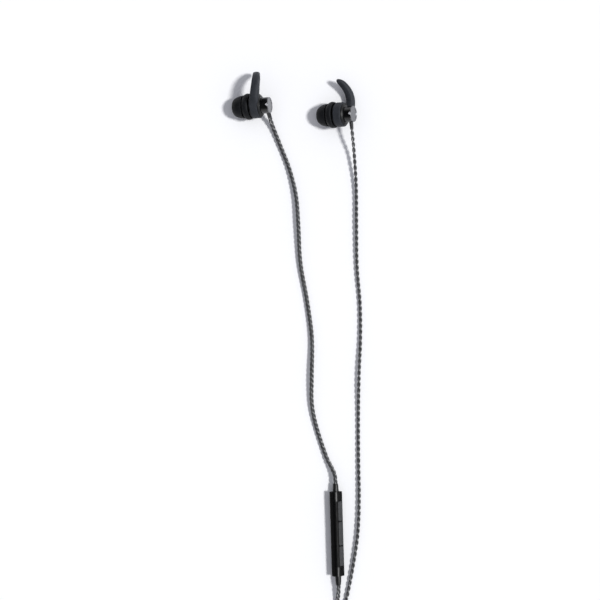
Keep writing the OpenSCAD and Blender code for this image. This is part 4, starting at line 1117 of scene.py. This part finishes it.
def ear_relief_line(r, end_r):
    """The sleeve's outline, from inside the barrel to its thin end."""
    return rounded([
        (0, RELIEF_INNER), (RELIEF_HOLD_R, RELIEF_INNER, 0.1),
        (RELIEF_HOLD_R, RELIEF_START - 0.1), (r, RELIEF_START - 0.05, 0.1),
        (r - 0.01, RELIEF_START + 0.6, 0.15), (end_r, relief_end, 0.3), (0, relief_end)],
        closed=False)


for side, ear in EARS.items():
    across = (EAR_TURN[side] @ Matrix.Translation((0, 0, RELIEF_Z))
              @ Matrix.Rotation(radians(-ear["drop"]), 4, "Z") @ Matrix.Rotation(pi / 2, 4, "Y"))
    line = ear_relief_line(*ear["relief_r"])
    dress(lathe(side + "_relief", line, across, RELIEF_RUBBER, 48), "soft_black",
          side + "_strain_relief")
print("reliefs", RELIEF_LEN, "mm long outside the barrel")

# %% [markdown]
# ## Nozzle gauze
# A disc of fine crossed wires keeps wax out of the driver. It repeats, so Geometry Nodes make
# it: a row of points, a thin wire on each point, cut to the chord of the circle there, and a
# second row turned by 90 degrees and lying on the first.

# %% Geometry Nodes tree and the two gauzes
GAUZE_R, GAUZE_PITCH, GAUZE_DEPTH = 2.3, 0.22, 0.14
WIRE_R, WIRE_SIDES, WIRE_LIFT = 0.045, 6, 1.6


def gauze_tree():
    tree, given = new_tree("crossed_wires", (
        ("Radius", "Float"), ("Pitch", "Float"), ("Wire radius", "Float"), ("Wire", "Material")))
    across = math_node(tree, "MULTIPLY", given["Radius"], 2)
    count = math_node(tree, "SUBTRACT", math_node(tree, "DIVIDE", across, given["Pitch"]), 1)
    whole = math_node(tree, "FLOOR", count)
    half = math_node(tree, "MULTIPLY", math_node(tree, "MULTIPLY", whole, given["Pitch"]), -0.5)
    start = link_new(tree, "ShaderNodeCombineXYZ", {0: half}).outputs[0]
    step = link_new(tree, "ShaderNodeCombineXYZ", {0: given["Pitch"]}).outputs[0]
    row = link_new(tree, "GeometryNodeMeshLine",
                   {"Count": math_node(tree, "ADD", whole, 1), "Start Location": start,
                    "Offset": step}).outputs[0]
    wire = link_new(tree, "GeometryNodeMeshCylinder",
                    {"Vertices": WIRE_SIDES, "Radius": given["Wire radius"],
                     "Depth": 2.0}).outputs[0]
    x = link_new(tree, "ShaderNodeSeparateXYZ",
                 {0: tree.nodes.new("GeometryNodeInputPosition").outputs[0]}).outputs["X"]
    inside = math_node(tree, "SUBTRACT", math_node(tree, "MULTIPLY", given["Radius"],
                                                   given["Radius"]),
                       math_node(tree, "MULTIPLY", x, x))
    chord = math_node(tree, "SQRT", inside)
    scale = link_new(tree, "ShaderNodeCombineXYZ", {0: 1.0, 1: 1.0, 2: chord}).outputs[0]
    wires = link_new(tree, "GeometryNodeInstanceOnPoints",
                     {"Points": row, "Instance": wire, "Rotation": (pi / 2, 0, 0),
                      "Scale": scale}).outputs[0]
    lift = link_new(tree, "ShaderNodeCombineXYZ",
                    {2: math_node(tree, "MULTIPLY", given["Wire radius"], WIRE_LIFT)}).outputs[0]
    crossed = link_new(tree, "GeometryNodeTransform",
                       {0: wires, "Translation": lift, "Rotation": (0, 0, pi / 2)}).outputs[0]
    both = tree.nodes.new("GeometryNodeJoinGeometry")
    tree.links.new(wires, both.inputs[0])
    tree.links.new(crossed, both.inputs[0])
    end_tree(tree, both.outputs[0], given["Wire"])
    return tree


CROSSED_WIRES = gauze_tree()
GAUZE_STEEL = finish("gauze_steel", (0.3, 0.3, 0.31, 1), 0.35, depth=0.002, Metallic=1.0)
for side, turn in EAR_TURN.items():
    gauze = run_tree(side + "_nozzle_gauze", bpy.data.meshes.new("seed"), CROSSED_WIRES,
                     Radius=GAUZE_R, Pitch=GAUZE_PITCH, Wire_radius=WIRE_R, Wire=GAUZE_STEEL)
    gauze.data.transform(turn @ Matrix.Translation((0, 0, NOZZLE_Z - GAUZE_DEPTH)))
    dress(gauze, "mesh_steel", side + "_nozzle_mesh")
    print(gauze.name, len(gauze.data.polygons), "faces")

# %% [markdown]
# ## Moulded boxes with soft outer edges
# The remote's shells, its buttons and the splitter have the right shape in CAD, but their
# edges are perfectly sharp, and a real moulded edge always catches a thin line of light. So a
# copy of each gets a small bevel. Only edges that face open air are bevelled: a ray that
# leaves the edge outwards and meets nothing tells that it is one of them.

# %% Helper: a copy of a CAD node with soft outer edges
EDGE_ANGLE, RAY_START, RAY_REACH, BEVEL_STEPS = 30, 0.02, 20, 3
SHELL_EDGE, BUTTON_EDGE = 0.08, 0.16


def softened(node, name, width, material, clamp=True):
    mesh = frame["nodes"][node].data.copy()
    form = bmesh.new()
    form.from_mesh(mesh)
    bmesh.ops.remove_doubles(form, verts=form.verts, dist=1e-6)
    bmesh.ops.dissolve_limit(form, angle_limit=radians(1), verts=form.verts, edges=form.edges)
    surface = BVHTree.FromBMesh(form)
    weight = form.edges.layers.float.new("bevel_weight_edge")
    for edge in form.edges:
        if edge.calc_face_angle(0) < radians(EDGE_ANGLE) or not edge.is_convex:
            continue
        way = (edge.link_faces[0].normal + edge.link_faces[1].normal).normalized()
        middle = (edge.verts[0].co + edge.verts[1].co) / 2 + way * RAY_START * MM
        if surface.ray_cast(middle, way, RAY_REACH * MM)[0] is None:
            edge[weight] = 1
    form.to_mesh(mesh)
    form.free()
    piece = shown_piece(name, mesh, material, EDGE_ANGLE)
    bevel = piece.modifiers.new("soft_edges", "BEVEL")
    bevel.limit_method, bevel.width, bevel.segments = "WEIGHT", width * MM, BEVEL_STEPS
    bevel.harden_normals, bevel.use_clamp_overlap = True, clamp
    return finished_mesh(piece)


print("soft edges are", SHELL_EDGE, "mm on shells and", BUTTON_EDGE, "mm on buttons")

# %% [markdown]
# ## Remote
# The remote is a front and a back shell that meet in a thin line, and three rubber buttons
# stand in one row in its front. Rubber can't hold a sharp edge, so the buttons get a wider
# bevel than the shells. Clamping would shrink the front shell's whole bevel to suit the short
# edges of its microphone hole, so that one isn't clamped.

# %% Remote shells and buttons
REMOTE_PIECES = {
    "remote_front": ("remote_front_shell", SHELL_EDGE, REMOTE_PLASTIC, "gloss_shell"),
    "remote_back": ("remote_back_shell", SHELL_EDGE, REMOTE_PLASTIC, "gloss_shell"),
    "volume_up_cap": ("volume_up_button", BUTTON_EDGE, BUTTON_RUBBER, "button_black"),
    "play_cap": ("play_button", BUTTON_EDGE, BUTTON_RUBBER, "button_black"),
    "volume_down_cap": ("volume_down_button", BUTTON_EDGE, BUTTON_RUBBER, "button_black"),
}
for name, (node, width, material, slot) in REMOTE_PIECES.items():
    piece = dress(softened(node, name, width, material, node != "remote_front_shell"), slot, node)
    print(piece.name, len(piece.data.polygons), "faces")

# %% [markdown]
# ## Reliefs of the remote
# At both ends of the remote the cord passes through a rubber sleeve with a waist, which the
# two shells grip.

# %% Reliefs of the remote


def sleeve_line(length, r=1.6, end_r=1.3, waist_r=1.4, hold=1.2, wall=0.85):
    """A sleeve from its hold inside a shell, over its waist in the wall, to its thin end."""
    return rounded([
        (0, -hold), (r, -hold, 0.08), (r, -wall, 0.05), (waist_r, -wall), (waist_r, FIT),
        (r, FIT, 0.1), ((r + end_r) / 2 + 0.05, length * 0.6, 0.4), (end_r, length, 0.35),
        (0, length)], closed=False)


ends = {"upper": (UPPER_RELIEF, Matrix.Identity(4)),
        "lower": (LOWER_RELIEF, Matrix.Rotation(pi, 4, "X"))}
for end, (length, flip) in ends.items():
    turn = REMOTE_TURN @ flip @ Matrix.Translation((0, 0, REMOTE_LEN / 2))
    dress(lathe(f"remote_{end}_sleeve", sleeve_line(length), turn, SOFT_RUBBER, 64),
          "soft_black", f"remote_{end}_relief")
print("remote sleeves", UPPER_RELIEF, "and", LOWER_RELIEF, "mm")

# %% [markdown]
# ## Splitter
# The two arms enter the splitter's upper end, and the main cord leaves through a sleeve at
# its lower end.

# %% Splitter
SPLITTER_LEN, SPLITTER_SLEEVE_LEN = 14, 5
for half in ("upper", "lower"):
    dress(softened(f"splitter_{half}_shell", f"splitter_{half}_half", SHELL_EDGE,
                   REMOTE_PLASTIC), "gloss_shell", f"splitter_{half}_shell")
down = (Matrix.Scale(MM, 4) @ Matrix.Translation(
    (SPLITTER_AT[0], SPLITTER_AT[1] - SPLITTER_LEN, SPLITTER_AT[2]))
    @ Matrix.Rotation(pi / 2, 4, "X"))
splitter_line = sleeve_line(SPLITTER_SLEEVE_LEN, r=1.9, end_r=1.4, hold=1.8)
dress(lathe("splitter_sleeve", splitter_line, down, SOFT_RUBBER, 64), "soft_black",
      "splitter_relief")
print("splitter", SPLITTER_LEN, "mm and its sleeve")

# %% [markdown]
# ## Plug
# The grip has shallow grooves for the fingers. Its relief is a row of rubber rings, each a
# little wider than the last, so it bends most near the cord. The pin has four contacts.

# %% Plug
PLUG_TURN = (Matrix.Scale(MM, 4) @ Matrix.Translation(PLUG_START)
             @ Matrix.Rotation(-pi / 2, 4, "Y"))
PLUG_RELIEF_LEN, GRIP_LEN, FACE_LEN, PIN_R, ROD_R = 6, 13, 0.8, 1.75, 0.8
RELIEF_RINGS, RELIEF_R, RELIEF_END_R = 4, 2.0, 1.4
PIN_Z = PLUG_RELIEF_LEN + GRIP_LEN + FACE_LEN
SLEEVE_LEN, BAND_LEN, RING_LEN, POINT_LEN = 4.9, 0.7, 2, 3


def plug_relief_line():
    points, step = [(0, 0)], PLUG_RELIEF_LEN / RELIEF_RINGS
    for i in range(RELIEF_RINGS):
        r = RELIEF_END_R + (RELIEF_R - RELIEF_END_R) * (i + 0.6) / RELIEF_RINGS
        points += [(r - 0.12, i * step, 0.1), (r, (i + 0.55) * step, 0.2),
                   (r, (i + 0.8) * step, 0.1), (r - 0.22, (i + 0.85) * step, 0.05)]
    end = PLUG_RELIEF_LEN
    return rounded(points + [(RELIEF_END_R, end, 0.05), (RELIEF_END_R, end + 1), (0, end + 1)],
                   closed=False)


def contact(name, start, length):
    line = rounded([(ROD_R + FIT, start), (PIN_R, start, 0.06), (PIN_R, start + length, 0.06),
                    (ROD_R + FIT, start + length)])
    return lathe(name, line, PLUG_TURN, GOLD_CONTACT, 64)


def plug_point_line():
    z = PIN_Z + SLEEVE_LEN + 3 * BAND_LEN + 2 * RING_LEN
    shape = [(PIN_R, 0, 0.05), (PIN_R, 0.3, 0.1), (1.2, 0.9, 0.2), (1.2, 1.2, 0.2),
             (PIN_R - 0.1, 1.86, 0.3), (0.9, 2.7, 0.3), (0.4, POINT_LEN, 0.1)]
    return rounded([(0, PIN_Z - FACE_LEN), (ROD_R, PIN_Z - FACE_LEN), (ROD_R, z)]
                   + [(r, z + h, f) for r, h, f in shape] + [(0, z + POINT_LEN)], closed=False)


dress(softened("plug_grip", "plug_handle", SHELL_EDGE, REMOTE_PLASTIC), "gloss_shell",
      "plug_grip")
dress(lathe("plug_rings_relief", plug_relief_line(), PLUG_TURN, SOFT_RUBBER, 64), "soft_black",
      "plug_relief")
dress(contact("plug_sleeve_contact", PIN_Z, SLEEVE_LEN), "contact_gold", "plug_sleeve")
ring_start = PIN_Z + SLEEVE_LEN + BAND_LEN
rings = joined(contact("plug_ring_contacts", ring_start, RING_LEN),
               contact("second_ring", ring_start + RING_LEN + BAND_LEN, RING_LEN))
dress(rings, "contact_gold", "plug_rings")
dress(lathe("plug_tip_contact", plug_point_line(), PLUG_TURN, GOLD_CONTACT, 64),
      "contact_gold", "plug_point")
print("plug pin", round(SLEEVE_LEN + 3 * BAND_LEN + 2 * RING_LEN + POINT_LEN, 1), "mm long")

# %% [markdown]
# ## Cord tie
# A hook-and-loop strip holds the coil: it goes once round the turns and its tail lies on
# itself. The strip is a thin rounded section swept along a rounded rectangle. The last part
# of the way lies one thickness further out, on top of the first. Its finish is a dense pile
# of tiny loops.

# %% Tie
TIE_W, TIE_T, TIE_INNER_W, TIE_INNER_H, TIE_R = 5, 0.46, 15.78, 5.45, 1.2
TIE_TURNS, TIE_START, TIE_STATIONS = 1.14, 0.12, 160
TIE_CLEAR, TIE_EDGE, TIE_LAP_FROM, TIE_LAP = 0.02, 0.2, 0.9, 0.1
TIE_FLAT = (1.4, 0.5, -0.5, -1.4)


def on_rounded_rectangle(s, out):
    """Point and outward way at share s of the loop round the turns, out mm outside it."""
    w, h, r = TIE_INNER_W - 2 * TIE_R, TIE_INNER_H - 2 * TIE_R, TIE_R + out
    quarter = pi / 2 * TIE_R
    left = (s % 1) * (2 * (w + h) + 4 * quarter)
    corners = ((w / 2, h / 2), (-w / 2, h / 2), (-w / 2, -h / 2), (w / 2, -h / 2))
    sides = ((w, (-1, 0), (0, 1)), (h, (0, -1), (-1, 0)), (w, (1, 0), (0, -1)),
             (h, (0, 1), (1, 0)))
    for corner, (length, way, outward) in zip(corners, sides):
        if left <= length:
            return (vec(*corner) + vec(*way) * left + vec(*outward) * r, vec(*outward))
        left -= length
        middle = vec(*corner) + vec(*way) * length
        if left <= quarter:
            a = left / quarter * pi / 2
            outward = vec(*outward) * cos(a) + vec(*way) * sin(a)
            return middle + outward * r, outward
        left -= quarter
    return on_rounded_rectangle(0, out)


def strip_section():
    """Half width, and height above the middle of the strip, round its section."""
    half, t = TIE_W / 2 - TIE_EDGE, TIE_T / 2
    side = [(half + TIE_EDGE * cos(a), t * sin(a))
            for a in (radians(d) for d in range(-90, 91, 30))]
    upper = [(u, t) for u in TIE_FLAT]
    return side + upper + [(-u, -v) for u, v in side] + [(-u, -v) for u, v in upper]


def tie_mesh(name):
    middle = vec(COIL_AT[0] - COIL_R, COIL_AT[1], COIL_BASE_Z + COIL_PITCH / 2)
    section = strip_section()
    verts = []
    for i in range(TIE_STATIONS + 1):
        n = TIE_START + TIE_TURNS * i / TIE_STATIONS
        lapped = ease((n - TIE_START - TIE_LAP_FROM) / TIE_LAP)
        lift = TIE_T * lapped + TIE_T / 2 + TIE_CLEAR
        (x, z), (out_x, out_z) = on_rounded_rectangle(n, lift)
        verts.extend(middle + vec(x + out_x * v, u, z + out_z * v) for u, v in section)
    k = len(section)
    faces = [[i * k + j, i * k + (j + 1) % k, (i + 1) * k + (j + 1) % k, (i + 1) * k + j]
             for i in range(TIE_STATIONS) for j in range(k)]
    faces += [list(range(k))[::-1], [TIE_STATIONS * k + j for j in range(k)]]
    mesh = bpy.data.meshes.new(name)
    mesh.from_pydata([tuple(v * MM) for v in verts], [], faces)
    face_out(mesh)
    return mesh


PILE = finish("loop_pile", grey(0.03), 0.9, grain=2400.0, depth=0.16, cloud=0.5, dust=0.3,
              Specular_IOR_Level=0.15, Sheen_Weight=0.3)
tie = dress(shown_piece("cord_strip", tie_mesh("cord_strip"), PILE), "tie_fabric", "cord_tie")
print(tie.name, len(tie.data.polygons), "faces")

# %% [markdown]
# Each cord takes the place of its CAD nodes, which are hidden, and rides on the body of the
# whole set.


def declare_cord(piece, nodes):
    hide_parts(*nodes)
    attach(piece, "set")


# %% [markdown]
# ## Light and surface
# One soft key light comes from the right, 57.5 degrees above the surface, and throws short
# shadows to the left. A plain dome fills them. The surface is white where the key reaches
# it. Colours then render about as they are written.

# %% Floor, key light and dome
KEY_ELEVATION, KEY_SPREAD, KEY_STRENGTH, DOME_STRENGTH = 57.5, 9, 2.33, 0.4
FLOOR_HALF, FLOOR_Z = 6, -2e-5

floor_mesh = bpy.data.meshes.new("floor")
floor_mesh.from_pydata([(x * FLOOR_HALF, y * FLOOR_HALF, FLOOR_Z)
                        for x, y in ((-1, -1), (1, -1), (1, 1), (-1, 1))], [], [(0, 1, 2, 3)])
floor = add_object("floor", floor_mesh)
floor_paint = material_of("floor_paint")
floor_paint.use_nodes = True
paint = floor_paint.node_tree.nodes["Principled BSDF"]
paint.inputs["Base Color"].default_value = (1, 1, 1, 1)
paint.inputs["Roughness"].default_value = 1
paint.inputs["Specular IOR Level"].default_value = 0
floor_mesh.materials.append(floor_paint)

key_data = bpy.data.lights.new("key", "SUN")
key_data.energy = KEY_STRENGTH
key_data.angle = radians(KEY_SPREAD)
key = bpy.data.objects.new("key", key_data)
key.rotation_euler = (0, radians(90 - KEY_ELEVATION), 0)
bpy.context.scene.collection.objects.link(key)

bpy.context.scene.view_settings.view_transform = "Standard"
print("key light", KEY_STRENGTH, "at", KEY_ELEVATION, "degrees above the surface")

# %% [markdown]
# A glossy black piece shows mostly what stands round it. In a studio that is a white sweep
# near the horizon, a dark ceiling, and a black card opposite the key light. The black band
# that the ceiling leaves along a barrel is what makes it look like polished metal. So a
# glossy ray sees white low down, dark overhead and on the left, and the bright round soft box
# of the key light in the key's own direction, while the camera sees plain white. For diffuse
# light the dome is even, and a little blue, as the shadows are.

# %% World
CEILING, SWEEP_TOP, CEILING_FROM = 0.08, 0.12, 0.55
CARD_FROM, CARD_TO, CARD = -0.4, -0.85, 0.06
SOFTBOX, SOFTBOX_EDGE = 4.0, (0.9, 0.96)
DOME_BLUE = (0.955, 0.975, 1.075, 1)


def dome_world():
    world = bpy.data.worlds.new("dome")
    world.use_nodes = True
    tree = world.node_tree
    seen = tree.nodes.new("ShaderNodeLightPath").outputs
    ray = tree.nodes.new("ShaderNodeTexCoord").outputs["Generated"]
    way = link_new(tree, "ShaderNodeSeparateXYZ", {0: ray}).outputs
    sweep = from_to(tree, way["Z"], SWEEP_TOP, CEILING_FROM, 1.0, CEILING, smooth=True)
    card = from_to(tree, way["X"], CARD_TO, CARD_FROM, CARD, 1.0, smooth=True)
    studio = math_node(tree, "MULTIPLY", sweep, card)
    to_key = (cos(radians(KEY_ELEVATION)), 0, sin(radians(KEY_ELEVATION)))
    facing = link_new(tree, "ShaderNodeVectorMath", {0: ray, 1: to_key},
                      operation="DOT_PRODUCT").outputs["Value"]
    softbox = from_to(tree, facing, *SOFTBOX_EDGE, 0.0, SOFTBOX, smooth=True)
    studio = math_node(tree, "ADD", studio, softbox)
    mirrored = math_node(tree, "MAXIMUM", seen["Is Glossy Ray"], seen["Is Transmission Ray"])
    diffuse = blend_colour(tree, DOME_STRENGTH, (0, 0, 0, 1), DOME_BLUE)
    glossy = blend_colour(tree, mirrored, diffuse, studio)
    shown = blend_colour(tree, seen["Is Camera Ray"], glossy, (1, 1, 1, 1))
    tree.links.new(shown, tree.nodes["Background"].inputs["Color"])
    return world


bpy.context.scene.world = dome_world()
print("ceiling", CEILING, "dome", DOME_STRENGTH)

# %% [markdown]
# ## Last lines
# The four cords take the place of their CAD nodes.

# %% Cords in place of their CAD nodes
declare_cord(left_upper, ["left_upper_cord"])
declare_cord(left_lower, ["left_lower_cord"])
declare_cord(right_arm, ["right_cord"])
declare_cord(main_cord, ["main_cord", "main_cord_coil", "plug_cord"])
